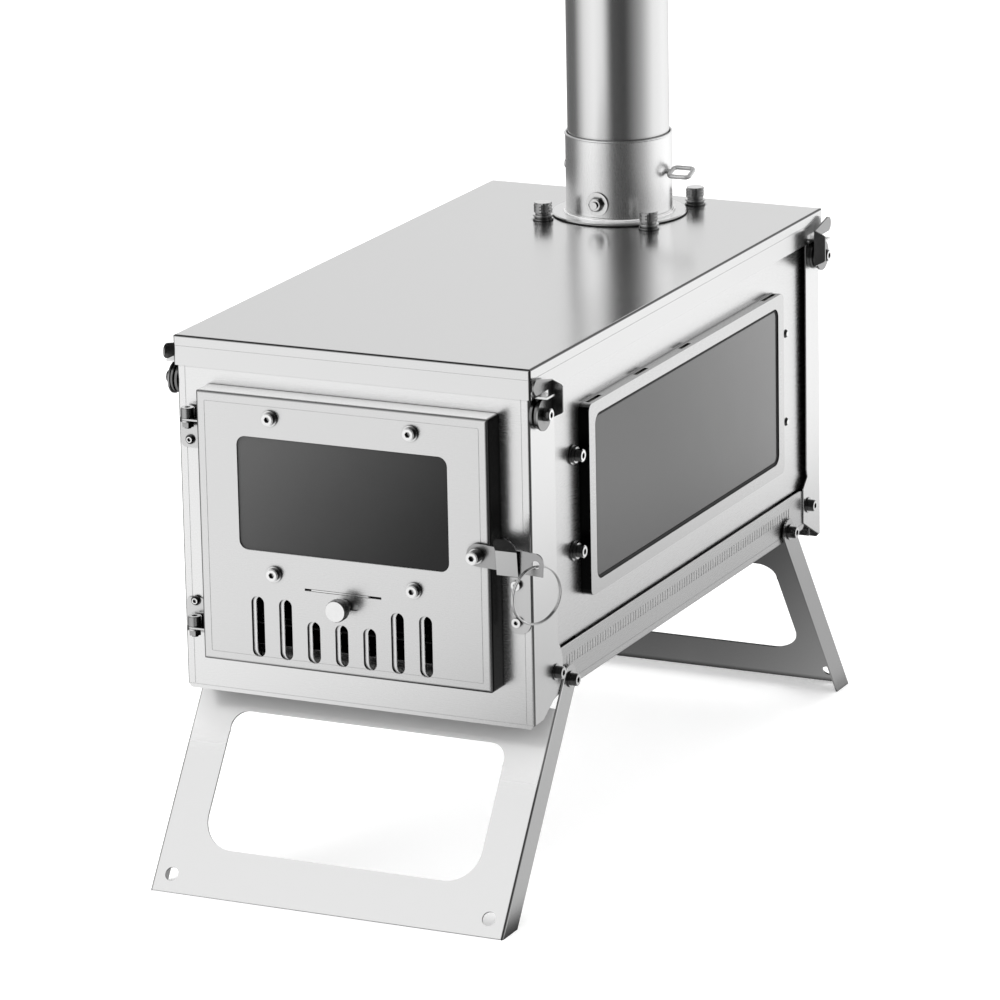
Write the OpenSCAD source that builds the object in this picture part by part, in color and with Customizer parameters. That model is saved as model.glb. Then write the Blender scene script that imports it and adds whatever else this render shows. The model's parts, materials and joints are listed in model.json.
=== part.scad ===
// Folding sheet-metal tent stove: a long firebox on two splayed legs, with a
// hinged glazed door, an air slider, four corner latches and a damped flue.
// Lengths are in millimetres. X runs across, Y runs from front to back and Z
// runs up. The ground is at Z 0 and the origin lies midway between the feet.

/* [Fittings] */
// one drawn millimetre, which every small fitting and clearance follows
mm = 1; // [0.99:0.01:1.01]

/* [Firebox] */
// width of the lid across its turned-down rim
lid_w = 216; // [212:1:226]
// length of the lid, front to back
lid_l = 408.6; // [400:0.2:430]
// height from the lower hem to the top of the lid
body_h = 202; // [200:1:212]
// height of the lower hem above the ground
stand_h = 104.2; // [104.2:0.1:110]
// thickness of every folded sheet
sheet = 1; // [0.8:0.1:1.1]
// outside bend radius of the folded sheets
bend_r = 1.5; // [1.4:0.1:3]
// depth of the lid's turned-down rim
rim_drop = 17; // [15:0.5:18]
// width of each lip that a corner latch pulls on
lip_w = 10; // [8:0.5:10]
// reach of each lip beyond the rim
lip_reach = 7.3; // [6:0.1:8]
// top of the tray's long walls above the hem
tray_top = 35.5; // [34:0.5:38]
// underside of the tray above the hem
tray_z = 10.2; // [9.8:0.1:11]
// distance from one vent slit to the next
vent_pitch = 3.42; // [3.2:0.01:3.42]
// width of a vent slit
vent_w = 1.5; // [1:0.1:1.8]
// height of a vent slit
vent_h = 5.5; // [4:0.5:6]

/* [Side windows] */
// distance from each end of the lid to a window frame set midway
frame_end = 67.05; // [66.3:0.05:73]
// distance from the top of the lid down to the frame
frame_drop = 37; // [35:0.1:46]
// height of the frame's lower edge above the hem
frame_z = 56.3; // [54:0.1:60]
// how far the frame stands out from the side panel
frame_d = 6.3; // [5.8:0.1:7]
// width of the frame's face round its opening
frame_face = 8; // [7:0.25:9]
// corner radius of the window opening
frame_r = 6; // [4:0.5:8]
// thickness of the side glass
side_glass_t = 3; // [2.5:0.1:3.2]
// how far the frame's middle lies behind the firebox's middle
frame_shift = 4.2; // [2:0.1:5]

/* [Door] */
// depth of the folded door
door_d = 13.7; // [13:0.1:15]
// height of the door's lower edge above the hem
door_z = 22.4; // [22:0.1:25]
// width of the door beside its window
door_side = 24.6; // [24:0.1:30]
// height of the door below its window
door_sill = 65.6; // [65:0.1:68]
// height of the door above its window
door_head = 23.5; // [23:0.1:30]
// corner radius of the door's window
door_win_r = 5.4; // [4:0.1:7]
// thickness of the door glass
door_glass_t = 3; // [2.5:0.1:3.2]
// width of an air slot
air_w = 7.9; // [7:0.1:8.2]
// distance from the door's side to the middle of its outermost air slot
air_side = 37.15; // [36.7:0.05:38.5]
// height of a tall air slot
air_tall = 34.8; // [32:0.1:35]
// height of a short air slot
air_short = 24; // [22:0.5:25]
// diameter of the slider's knurled knob
knob_d = 12.5; // [11:0.5:13]
// reach of the knob in front of the door
knob_reach = 12.3; // [11.4:0.1:13.4]
// width of the latch arm
arm_w = 12.6; // [11:0.1:13]
// length of the latch arm beyond its pivot
arm_l = 39; // [38:0.5:40]
// droop of the resting latch arm, degrees
arm_droop = 3; // [2.5:0.1:3.2]
// outside diameter of the pull ring
ring_d = 32.9; // [28:0.1:34]
// wire diameter of the pull ring
ring_wire = 1.1; // [0.9:0.05:1.2]

/* [Legs] */
// splay of each leg from the vertical, degrees
splay = 34.5; // [33.5:0.1:34.5]
// half the width of a leg's side flange
leg_half = 8; // [7.6:0.1:8]
// length of a leg's wide plate, from the pivot to its lower edge
leg_l = 151.5; // [148:0.5:151.5]
// width of a leg beside its cut-out
leg_rail = 23.9; // [22:0.1:30]
// height of the cut-out in a leg
leg_gap_h = 80.6; // [74:0.1:82]
// radius of a peg hole in a leg
peg_r = 4; // [3:0.25:4.5]

/* [Corner latches] */
// radius of a corner latch's round foot
hook_r = 9; // [8:0.1:9.2]
// radius of the washer stack behind a corner latch
stack_r = 8.3; // [7:0.1:8.4]
// reach of a corner latch's finger tab
tab_reach = 7; // [6:0.5:8]

/* [Flue] */
// outside radius of the flue pipe
pipe_r = 30.1; // [30.1:0.1:30.5]
// wall thickness of the flue pipe
pipe_wall = 0.8; // [0.7:0.1:1]
// length of the flue pipe
pipe_l = 311; // [300:1:330]
// clearance between the pipe and its collar
pipe_gap = 0.4; // [0.35:0.05:0.5]
// length of the widened socket at the top of the pipe
socket_l = 45; // [40:1:50]
// height of the collar above the lid
collar_h = 49.5; // [48:0.5:52]
// distance from the flue's axis to the back of the lid
flue_in = 51.8; // [50:0.1:54]
// half the spacing of the thumb nuts
nut_half = 34; // [34:0.1:35]
// diameter of a thumb nut
nut_d = 12; // [11:0.5:12.5]
// radius of the damper plate
damper_r = 28.2; // [27:0.1:28.4]
// tilt of the damper at rest, degrees
damper_tilt = 20; // [10:1:30]

/* [Hidden] */
$fn = 64;
cut = 3 * mm;
move_gap = 0.3 * mm;
pin_gap = 0.05 * mm;
axial_gap = 0.1 * mm;
// layers across the body, from the lid inwards
lid_x = lid_w / 2;
panel_out = lid_x - sheet - 0.4 * mm;
panel_in = panel_out - sheet;
tray_out = panel_in;
tray_in = tray_out - sheet;
side_out = tray_in - 1.6 * mm;
side_in = side_out - sheet;
leg_in = panel_out + move_gap;
leg_out = leg_in + sheet;
leg_half_gap = leg_out - leg_rail;
// layers from front to back
lid_y = lid_l / 2;
panel_y = lid_y - sheet - move_gap;
panel_back = panel_y - sheet;
panel_top = body_h - bend_r;
foot_mid = 4 * mm;
// pivots, measured from the panel faces and the hem
front_pin = [-panel_y + 27.5 * mm, 25.2 * mm];
rear_pin = [panel_y - 19.7 * mm, 24.8 * mm];
front_leg = [-panel_y + 43.3 * mm, 16.7 * mm];
rear_leg = [panel_y - 51.3 * mm, 16.7 * mm];
// sizes of the screws
bolt_r = 2 * mm;
head_r = 3.5 * mm;
head_h = 4 * mm;
hex_r = 1.73 * mm;
hex_d = 2.2 * mm;
washer_r = 4.5 * mm;
washer_t = 0.8 * mm;
nut_r = 3.9 * mm;
nut_h = 2 * mm;
// ends of the tray
tray_front = -panel_y + 30 * mm;
tray_rear = panel_y - 26 * mm;
tray_lip = 18.5 * mm;
vent_z = 24 * mm;
vent_mid = -2 * mm;
vent_ends = 31.5 * mm;
vent_count = floor((tray_rear - tray_front - vent_ends) / vent_pitch);
// creases pressed along the folds
crease_w = 0.4 * mm;
crease_d = 0.15 * mm;
door_crease = 5.5 * mm;
lid_crease = 5.9 * mm;
side_crease = 5 * mm;
hem_crease = 2.4 * mm;
tray_crease = 4.5 * mm;
// side panel, its window frame and what the frame holds
side_end = panel_back - 3 * mm;
side_notch = 36 * mm;
side_notch_y = 58 * mm;
side_return = 9 * mm;
frame_l = lid_l - 2 * frame_end;
frame_h = body_h - frame_drop - frame_z;
frame_mid_z = frame_z + frame_h / 2;
open_l = frame_l - 2 * frame_face;
open_h = frame_h - 2 * frame_face + 1.8 * mm;
glass_x = side_out + frame_d - sheet - side_glass_t;
side_screw_y = frame_shift - frame_l / 2 - 8.9 * mm;
side_rivet_y = frame_shift + frame_l / 2 + 17.5 * mm;
side_screw_zs = [frame_mid_z - 26.1 * mm, frame_mid_z + 28.3 * mm];
side_rivet_zs = [frame_mid_z - 28.7 * mm, frame_mid_z + 24.9 * mm];
// corner latches, measured from the lid
latch_y = lid_y - 8.8 * mm;
latch_z = body_h - 26.3 * mm;
latch_x = lid_x + 3 * mm;
latch_t = 1 * mm;
lip_y = lid_y - 10.2 * mm;
lip_z = body_h - rim_drop;
lip_t = 1.2 * mm;
hook_neck = 11.2 * mm;
hook_neck_w = 4.2 * mm;
hook_open = 12.6 * mm;
hook_out = 12.9 * mm;
hook_end_r = 4.3 * mm;
tab_low = [-4.6 * mm, -1.2 * mm];
tab_high = [17 * mm, 14.1 * mm];
// door, its parts and what it hangs on
door_w = 2 * (panel_out - 18.3 * mm);
door_h = body_h - 26 * mm - door_z;
door_back = -panel_y - move_gap;
door_front = door_back - door_d;
door_in = door_front + sheet;
door_mid_z = door_z + door_h / 2;
door_r = 2 * mm;
door_win_w = door_w - 2 * door_side;
door_win_h = door_h - door_sill - door_head;
win_z = door_z + door_sill + door_win_h / 2;
door_screw_x = door_win_w / 2 - 21.2 * mm;
door_screw_zs = [win_z - door_win_h / 2 - 12 * mm, win_z + door_win_h / 2 + 11.5 * mm];
door_glass_w = door_win_w + 12.6 * mm;
door_glass_h = door_win_h + 13 * mm;
clamp_w = door_glass_w + 16 * mm;
clamp_h = door_win_h + 35.5 * mm;
clamp_r = 4 * mm;
air_count = 7;
air_pitch = (door_w - 2 * air_side) / (air_count - 1);
air_mid = -2.45 * mm;
air_z = door_z + 4.8 * mm;
slit_z = door_z + 46.6 * mm;
slit_mid = -1 * mm;
slit_w = 46.6 * mm;
slit_h = 1.4 * mm;
tab_w = 34.6 * mm;
tab_mid = -3 * mm;
tab_t = 0.8 * mm;
knob_z = door_z + 40 * mm;
knob_len = 6.4 * mm;
stem_r = 2 * mm;
stem_slot = [-5.4 * mm, 8.4 * mm];
slider_t = 0.8 * mm;
slider_y = door_in + move_gap;
slider_shift = 2.2 * mm;
slider_low = door_z + 2.8 * mm;
slider_high = door_z + 44.6 * mm;
guide_x = door_w / 2 - 18.3 * mm;
guide_ends = [-30 * mm, 24 * mm];
slider_x = [-guide_x + 4 * mm, guide_x - 8 * mm];
// hinges at the door's left edge
hinge_x = -panel_out + 8.6 * mm;
hinge_y = -panel_y - 5.2 * mm;
hinge_head_r = 3.9 * mm;
hinge_head_h = 5.6 * mm;
hinge_pin_r = 1.9 * mm;
ear_r = 4.2 * mm;
ear_t = 1 * mm;
ear_gap = 0.2 * mm;
upper_ear = door_z + door_h - 20 * mm;
lower_ear = door_z + 14.3 * mm;
bracket_w = 12 * mm;
bracket_screw_x = hinge_x - 1 * mm;
button_r = 2.65 * mm;
button_h = 2 * mm;
// latch arm, its ring and the keeper on the front panel
arm_x = door_w / 2 - 6.7 * mm;
arm_z = door_z + door_h / 2 + 1.3 * mm;
arm_y = door_front - 2.3 * mm;
arm_t = 1 * mm;
ring_at = 34.65 * mm;
ring_hole_r = 2.3 * mm;
ring_hang = 0.9 * mm;
ring_turn = 61.5;
ring_r = (ring_d - ring_wire) / 2;
ring_x = arm_x + ring_at * cos(arm_droop);
ring_z = arm_z - ring_at * sin(arm_droop);
keeper_x = panel_out - 7.9 * mm;
keeper_w = 14 * mm;
flap_x = keeper_x + 1.5 * mm;
flap_w = 12.6 * mm;
keeper_low = arm_z - 46.6 * mm;
keeper_floor = arm_z - arm_w / 2 - 2.2 * mm;
keeper_lean = 6;
keeper_flare = 34;
keeper_flap = 14.1 * mm;
keeper_tab = 10.2 * mm;
keeper_screw_zs = [arm_z - 40 * mm, arm_z - 19.1 * mm];
keeper_screw_x = keeper_x - 1 * mm;
// flue
flue_y = lid_y - flue_in;
collar_r = pipe_r + pipe_gap;
collar_t = 1 * mm;
foot_r = 39.9 * mm;
foot_t = 1.5 * mm;
foot_edge = 0.5 * mm;
bead_r = 0.7 * mm;
bead_z = body_h + 2.6 * mm;
damper_z = body_h + 27 * mm;
stop_z = body_h + 29 * mm;
stop_h = 1 * mm;
pipe_z = body_h + 31 * mm;
hole_r = collar_r;
plate_half = 41 * mm;
stud_top = body_h + 10.2 * mm;
collar_screw_z = body_h + 11.5 * mm;
collar_washer_r = 7 * mm;
collar_nut_r = 4.3 * mm;
collar_nut_h = 3 * mm;
spindle_r = 1.5 * mm;
handle_x = 33.7 * mm;
handle_end = 46.5 * mm;
handle_half = 5 * mm;
wire_r = 1.3 * mm;

// the body is drawn from its hem and its own middle, then set over the feet
module stand() translate([0, foot_mid, stand_h]) children();

module rounded(w, h, r) {
  square([w, h - 2 * r], center = true);
  square([w - 2 * r, h], center = true);
  for (sx = [-1, 1], sy = [-1, 1])
    translate([sx * (w / 2 - r), sy * (h / 2 - r)])
      circle(r);
}

module stadium(w, h) {
  square([w, h - w], center = true);
  for (s = [-1, 1])
    translate([0, s * (h - w) / 2])
      circle(w / 2);
}

// profile in Y and Z, drawn out along X
module yz(x, len) translate([x, 0, 0]) rotate([90, 0, 90]) linear_extrude(len) children();

// profile in X and Z, drawn out along Y
module xz(y, len) translate([0, y + len, 0]) rotate([90, 0, 0]) linear_extrude(len) children();

module box(a, b) translate(a) cube(b - a);

// outline of a crease that runs round a rectangle
module crease_ring(w, h, r)
  difference() {
    rounded(w + crease_w, h + crease_w, r);
    rounded(w - crease_w, h - crease_w, r - crease_w);
  }

module both_sides() {
  children();
  mirror([1, 0, 0]) children();
}

// cylinder from x0 to x1 along X
module rod_x(r, x0, x1) translate([x0, 0, 0]) rotate([0, 90, 0]) cylinder(r = r, h = x1 - x0);

// cylinder from y0 to y1 along Y
module rod_y(r, y0, y1) translate([0, y1, 0]) rotate([90, 0, 0]) cylinder(r = r, h = y1 - y0);

// socket head standing on the plane Z 0, with its hexagon recess
module socket_head(r, h) {
  difference() {
    union() {
      cylinder(r = r, h = h - 0.4 * mm);
      cylinder(r1 = r, r2 = r - 0.4 * mm, h = h);
    }
    translate([0, 0, h - hex_d]) cylinder(r = hex_r, h = hex_d + cut, $fn = 6);
  }
}

// screw along +X whose head stands on x1 and whose nut is drawn up against x0
module screw_x(x0, x1, wash_r, wash_t) {
  translate([x1, 0, 0]) rotate([0, 90, 0]) cylinder(r = wash_r, h = wash_t);
  translate([x1 + wash_t, 0, 0]) rotate([0, 90, 0]) socket_head(head_r, head_h);
  rod_x(bolt_r, x0 - nut_h, x1 + wash_t + mm);
  translate([x0 - nut_h, 0, 0]) rotate([0, 90, 0]) cylinder(r = nut_r, h = nut_h, $fn = 6);
}

// screw along -Y whose head stands on y1, in front of a spacer, with its nut behind y0
module screw_y(y0, y1, head) {
  translate([0, y1, 0]) rotate([90, 0, 0]) socket_head(head_r, head);
  rod_y(bolt_r, y1 - mm, y0 + nut_h);
  translate([0, y0 + nut_h, 0]) rotate([90, 0, 0]) cylinder(r = nut_r, h = nut_h, $fn = 6);
}

// base tray: floor, two slitted walls, pivot ears and two low end lips
module tray_side() {
  polygon([
    [tray_front, tray_z + mm], [tray_front + 22 * mm, tray_z],
    [tray_rear - 25 * mm, tray_z], [tray_rear, tray_z + mm],
    [rear_pin[0], rear_pin[1] - 8 * mm], [rear_pin[0], rear_pin[1] + 8 * mm],
    [tray_rear - 3 * mm, tray_top], [tray_front + 3 * mm, tray_top],
    [front_pin[0], front_pin[1] + 8 * mm], [front_pin[0], front_pin[1] - 8 * mm]
  ]);
  translate(front_pin) circle(8 * mm);
  translate(rear_pin) circle(8 * mm);
}

module base_tray() {
  deep = 60 * mm;
  color("silver")
    stand() {
      difference() {
        intersection() {
          difference() {
            xz(-lid_y, lid_l)
              translate([0, tray_z + deep / 2]) rounded(2 * tray_out, deep, bend_r);
            xz(-lid_y - cut, lid_l + 2 * cut)
              translate([0, tray_z + sheet + deep / 2])
                rounded(2 * tray_in, deep, bend_r - sheet);
          }
          yz(-lid_x, lid_w) tray_side();
        }
        box([-tray_in, -lid_y, 0], [tray_in, tray_front, deep]);
        box([-tray_in, tray_rear, 0], [tray_in, lid_y, deep]);
        both_sides()
          box([tray_out - crease_d, -lid_y, tray_z + tray_crease - crease_w / 2],
              [tray_out + cut, lid_y, tray_z + tray_crease + crease_w / 2]);
        for (i = [0:vent_count - 1])
          translate([-lid_x, vent_mid + (i - (vent_count - 1) / 2) * vent_pitch - vent_w / 2, vent_z])
            cube([lid_w, vent_w, vent_h]);
        for (p = [front_pin, rear_pin, front_leg, rear_leg])
          translate([0, p[0], p[1]]) rod_x(bolt_r, -lid_x, lid_x);
      }
      box([-tray_in, tray_front, tray_z + sheet], [tray_in, tray_front + sheet, tray_lip]);
      box([-tray_in, tray_rear - sheet, tray_z + sheet], [tray_in, tray_rear, tray_lip]);
    }
}

module front_side() {
  f = -panel_y;
  polygon([
    [f - cut, 0], [f + 1.6 * mm, 0], [f + 2.2 * mm, 2.6 * mm], [f + 10.4 * mm, 2.8 * mm],
    [f + 16.3 * mm, 5.8 * mm], [f + 24.8 * mm, 10.3 * mm], [f + 33.1 * mm, 11.8 * mm],
    [f + 36.6 * mm, 17.9 * mm], [f + 36.6 * mm, 31 * mm], [f + 35 * mm, 35.5 * mm],
    [f + 31 * mm, 42 * mm], [f + 31 * mm, panel_top], [f - cut, panel_top]
  ]);
}

module rear_side() {
  b = panel_y;
  polygon([
    [b + cut, 0], [b - 1.6 * mm, 0], [b - 2.2 * mm, 2.6 * mm], [b - 3.6 * mm, 3 * mm],
    [b - 26.3 * mm, 15.3 * mm], [b - 26.3 * mm, 36.5 * mm], [b - 20 * mm, 42.5 * mm],
    [b - 21 * mm, 47 * mm], [b - 21 * mm, panel_top], [b + cut, panel_top]
  ]);
}

// folded end panel standing with its face at -panel_y
module end_shell() {
  deep = 90 * mm;
  difference() {
    translate([0, -panel_y + deep / 2, 0])
      linear_extrude(panel_top) rounded(2 * panel_out, deep, bend_r);
    translate([0, -panel_y + sheet + deep / 2, -cut])
      linear_extrude(panel_top + 2 * cut) rounded(2 * panel_in, deep, bend_r - sheet);
    both_sides() {
      translate([panel_out, 0, 0]) rotate([0, 45, 0])
        cube([3.6 * mm, lid_l * 2, 3.6 * mm], center = true);
      box([panel_out - side_crease - crease_w / 2, -panel_y - cut, hem_crease],
          [panel_out - side_crease + crease_w / 2, -panel_y + crease_d, body_h]);
    }
    box([-lid_x, -panel_y - cut, hem_crease - crease_w / 2],
        [lid_x, -panel_y + crease_d, hem_crease + crease_w / 2]);
  }
}

module end_trim() {
  box([-panel_in + 6 * mm, -panel_y + sheet, panel_top - sheet],
      [panel_in - 6 * mm, -panel_y + 9 * mm, panel_top]);
  box([-panel_in + 6 * mm, -panel_y + sheet, 0],
      [panel_in - 6 * mm, -panel_y + 1.9 * mm, 4.5 * mm]);
}

module front_panel() {
  color("silver")
    stand()
      difference() {
        union() {
          intersection() {
            end_shell();
            yz(-lid_x, lid_w) front_side();
          }
          end_trim();
        }
        xz(-panel_y - cut, sheet + 2 * cut)
          translate([0, door_mid_z]) rounded(door_w - 16.6 * mm, door_h - 15.6 * mm, 6 * mm);
        translate([0, front_pin[0], front_pin[1]]) rod_x(bolt_r, -lid_x, lid_x);
        translate([0, -latch_y, latch_z]) rod_x(bolt_r, -lid_x, lid_x);
      }
}

module rear_panel() {
  color("silver")
    stand()
      difference() {
        union() {
          intersection() {
            mirror([0, 1, 0]) end_shell();
            yz(-lid_x, lid_w) rear_side();
          }
          mirror([0, 1, 0]) end_trim();
        }
        translate([0, rear_pin[0], rear_pin[1]]) rod_x(bolt_r, -lid_x, lid_x);
        translate([0, latch_y, latch_z]) rod_x(bolt_r, -lid_x, lid_x);
      }
}

// right side panel: notched lower corners, inward returns and a window opening
module side_outline() {
  polygon([
    [-side_end, side_notch], [-side_end + side_notch_y, side_notch],
    [-side_end + side_notch_y, tray_z + sheet], [side_end - side_notch_y, tray_z + sheet],
    [side_end - side_notch_y, side_notch], [side_end, side_notch],
    [side_end, panel_top], [-side_end, panel_top]
  ]);
}

module side_panel() {
  difference() {
    yz(side_in, sheet) side_outline();
    yz(side_in - cut, sheet + 2 * cut)
      translate([frame_shift, frame_mid_z]) rounded(open_l - 3 * mm, open_h - 3 * mm, frame_r);
    for (z = side_screw_zs)
      translate([0, side_screw_y, z]) rod_x(bolt_r, side_in - cut, side_out + cut);
    for (z = side_rivet_zs)
      translate([0, side_rivet_y, z]) rod_x(1.5 * mm, side_in - cut, side_out + cut);
  }
  for (s = [-1, 1])
    translate([0, s * (side_end - sheet / 2), 0])
      box([side_in - side_return, -sheet / 2, side_notch + 4 * mm],
          [side_in, sheet / 2, panel_top - 14 * mm]);
  box([side_in - side_return, -side_end + 14 * mm, panel_top - sheet],
      [side_in, side_end - 14 * mm, panel_top]);
}

module side_panel_right() color("silver") stand() side_panel();

module side_panel_left() color("silver") stand() mirror([1, 0, 0]) side_panel();

// pressed window frame with air gaps along its upper wall
module side_frame() {
  difference() {
    yz(side_out, frame_d) translate([frame_shift, frame_mid_z]) rounded(frame_l, frame_h, 4 * mm);
    yz(side_out - cut, frame_d - sheet + cut)
      translate([frame_shift, frame_mid_z])
        rounded(frame_l - 2 * sheet, frame_h - 2 * sheet, 4 * mm - sheet);
    yz(side_out, frame_d + cut)
      translate([frame_shift, frame_mid_z]) rounded(open_l, open_h, frame_r);
    for (g = [[-0.479, -0.417], [-0.246, -0.189], [-0.02, 0.029], [0.415, 0.479]])
      box([side_out + 1.4 * mm, frame_shift + g[0] * frame_l, frame_mid_z],
          [side_out + 3.9 * mm, frame_shift + g[1] * frame_l, frame_z + frame_h + cut]);
  }
}

module side_frame_right() color("gainsboro") stand() side_frame();

module side_frame_left() color("gainsboro") stand() mirror([1, 0, 0]) side_frame();

module side_glass()
  yz(glass_x, side_glass_t)
    translate([frame_shift, frame_mid_z])
      rounded(frame_l - 2 * sheet - mm, frame_h - 2 * sheet - mm, 2 * mm);

module side_glass_right() color("dimgray") stand() side_glass();

module side_glass_left() color("dimgray") stand() mirror([1, 0, 0]) side_glass();

module side_gasket()
  difference() {
    yz(side_out, glass_x - side_out)
      translate([frame_shift, frame_mid_z])
        rounded(frame_l - 2 * sheet - 3 * mm, frame_h - 2 * sheet - 3 * mm, 3 * mm);
    yz(side_out - cut, frame_d)
      translate([frame_shift, frame_mid_z]) rounded(open_l, open_h, frame_r);
  }

module side_gasket_right() color("beige") stand() side_gasket();

module side_gasket_left() color("beige") stand() mirror([1, 0, 0]) side_gasket();

module side_frame_screws()
  color("lightgray")
    stand()
      both_sides()
        for (z = side_screw_zs)
          translate([0, side_screw_y, z]) {
            rod_x(5.6 * mm, side_out, side_out + 1.2 * mm);
            screw_x(side_in, side_out + 1.2 * mm, washer_r, 1.6 * mm);
            rod_x(bolt_r, side_in, side_out + 2 * mm);
          }

module side_rivets()
  color("lightgray")
    stand()
      both_sides()
        for (z = side_rivet_zs)
          translate([0, side_rivet_y, z]) {
            rod_x(1.5 * mm, side_in - 1.2 * mm, side_out + mm);
            rod_x(2.4 * mm, side_in - 1.2 * mm, side_in);
            translate([side_out, 0, 0]) rotate([0, 90, 0])
              cylinder(r1 = 2.6 * mm, r2 = 1.6 * mm, h = 1.4 * mm);
          }

// grate standing on the tray's floor on its folded edges
module fire_grate() {
  top = tray_z + 21 * mm;
  x = side_in - 3 * mm;
  y0 = tray_front + 4 * mm;
  y1 = tray_rear - 4 * mm;
  color("darkgray")
    stand() {
      difference() {
        box([-x, y0, top - sheet], [x, y1, top]);
        for (i = [0:19], s = [-1, 0, 1])
          translate([s * x * 0.61, y0 + (i + 0.5) * (y1 - y0) / 20, top - sheet - cut])
            linear_extrude(sheet + 2 * cut)
              rotate([0, 0, 90]) stadium(6 * mm, x * 0.45);
      }
      both_sides()
        difference() {
          box([x - sheet, y0, tray_z + sheet], [x, y1, top - sheet]);
          for (i = [0:9])
            translate([x - sheet / 2, y0 + (i + 0.5) * (y1 - y0) / 10, tray_z + 11 * mm])
              cube([cut, 20 * mm, 8 * mm], center = true);
        }
    }
}

module panel_pivot_screws()
  color("lightgray")
    stand()
      both_sides()
        for (p = [front_pin, rear_pin])
          translate([0, p[0], p[1]]) screw_x(tray_in, panel_out, washer_r, washer_t);

module leg_pivot_screws()
  color("lightgray")
    stand()
      both_sides()
        for (p = [front_leg, rear_leg])
          translate([0, p[0], p[1]]) {
            screw_x(tray_in, leg_out + axial_gap, washer_r, washer_t);
            rod_x(washer_r, tray_out, leg_in - axial_gap);
          }

// lid: shallow tray turned upside down, four lips on its long rims
module lid_block(w, l, h, r, drop) {
  intersection() {
    translate([0, 0, body_h - drop]) linear_extrude(drop) rounded(w, l, r);
    xz(-lid_y - cut, lid_l + 2 * cut) translate([0, body_h - h - (lid_w - w) / 2]) rounded(w, 2 * h, r);
    yz(-lid_x - cut, lid_w + 2 * cut) translate([0, body_h - h - (lid_w - w) / 2]) rounded(l, 2 * h, r);
  }
}

module lid() {
  color("whitesmoke")
    stand()
      difference() {
        union() {
          difference() {
            lid_block(lid_w, lid_l, 40 * mm, bend_r, rim_drop);
            lid_block(lid_w - 2 * sheet, lid_l - 2 * sheet, 40 * mm, bend_r - sheet, rim_drop + cut);
          }
          both_sides()
            for (s = [-1, 1])
              translate([lid_x - sheet / 2, s * lip_y, lip_z])
                translate([0, -lip_w / 2, 0]) cube([lip_reach + sheet / 2, lip_w, lip_t]);
        }
        translate([0, 0, body_h - lid_crease - crease_w / 2])
          linear_extrude(crease_w)
            difference() {
              square([lid_w + 2 * cut, lid_l + 2 * cut], center = true);
              rounded(lid_w - 2 * crease_d, lid_l - 2 * crease_d, bend_r - crease_d);
            }
        translate([0, flue_y, body_h - rim_drop]) cylinder(r = hole_r, h = rim_drop + cut);
        for (sx = [-1, 1], sy = [-1, 1])
          translate([sx * nut_half, flue_y + sy * nut_half, body_h - rim_drop])
            cylinder(r = bolt_r, h = rim_drop + cut);
      }
}

// flue collar: foot ring, rolled beads and the stop that the pipe stands on
module flue_collar() {
  top = body_h + collar_h;
  color("gainsboro")
    stand()
      translate([0, flue_y, 0])
        difference() {
          rotate_extrude() {
            polygon([[collar_r, body_h], [foot_r, body_h], [foot_r, body_h + foot_t - foot_edge],
                     [foot_r - foot_edge, body_h + foot_t], [collar_r, body_h + foot_t]]);
            translate([collar_r, body_h]) square([collar_t, collar_h - 0.8 * mm]);
            translate([collar_r + collar_t, bead_z]) circle(bead_r);
            translate([collar_r + 0.75 * mm, top - 0.8 * mm]) circle(0.75 * mm);
            translate([collar_r - 1.2 * mm, stop_z]) square([1.2 * mm + collar_t / 2, stop_h]);
          }
          translate([0, 0, damper_z]) rod_x(spindle_r + pin_gap, -foot_r, foot_r);
          translate([0, 0, collar_screw_z]) rod_y(bolt_r, -foot_r, -collar_r / 2);
        }
}

module flue_mount_plate() {
  color("darkgray")
    stand()
      translate([0, flue_y, 0]) {
        difference() {
          translate([0, 0, body_h - 2 * sheet])
            linear_extrude(sheet) rounded(2 * plate_half, 2 * plate_half, 6 * mm);
          translate([0, 0, body_h - 3 * sheet]) cylinder(r = hole_r, h = rim_drop);
        }
        for (sx = [-1, 1], sy = [-1, 1])
          translate([sx * nut_half, sy * nut_half, body_h - 2 * sheet - 1.5 * mm]) {
            cylinder(r = bolt_r, h = stud_top - body_h + 2 * sheet + 1.5 * mm);
            cylinder(r = head_r, h = 1.5 * mm);
          }
      }
}

// knurled outline with straight teeth
module knurl(r, teeth)
  polygon([
    for (i = [0:2 * teeth - 1])
      (i % 2 == 0 ? r : r - 0.45 * mm) * [cos(i * 180 / teeth), sin(i * 180 / teeth)]
  ]);

// knurled barrel standing on Z 0, its teeth turned down at both ends
module knurled_barrel(r, h, teeth, c) {
  over = 0.3 * mm;
  intersection() {
    linear_extrude(h) knurl(r, teeth);
    union() {
      cylinder(r1 = r - c, r2 = r + over, h = c + over);
      translate([0, 0, c + over]) cylinder(r = r + over, h = h - 2 * (c + over));
      translate([0, 0, h - c - over]) cylinder(r1 = r + over, r2 = r - c, h = c + over);
    }
  }
}

module at_nuts()
  for (sx = [-1, 1], sy = [-1, 1])
    translate([sx * nut_half, flue_y + sy * nut_half, 0]) children();

module thumb_nuts() {
  low = body_h + 2.4 * mm;
  color("gray")
    stand()
      at_nuts()
        difference() {
          union() {
            translate([0, 0, low]) cylinder(r = nut_d / 2 + 0.7 * mm, h = mm);
            translate([0, 0, low + mm]) cylinder(r = nut_d / 2 - 1.2 * mm, h = mm);
            translate([0, 0, low + 2 * mm]) knurled_barrel(nut_d / 2, 6.3 * mm, 30, 0.8 * mm);
          }
          translate([0, 0, low - cut]) cylinder(r = bolt_r + pin_gap, h = rim_drop);
        }
}

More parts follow.
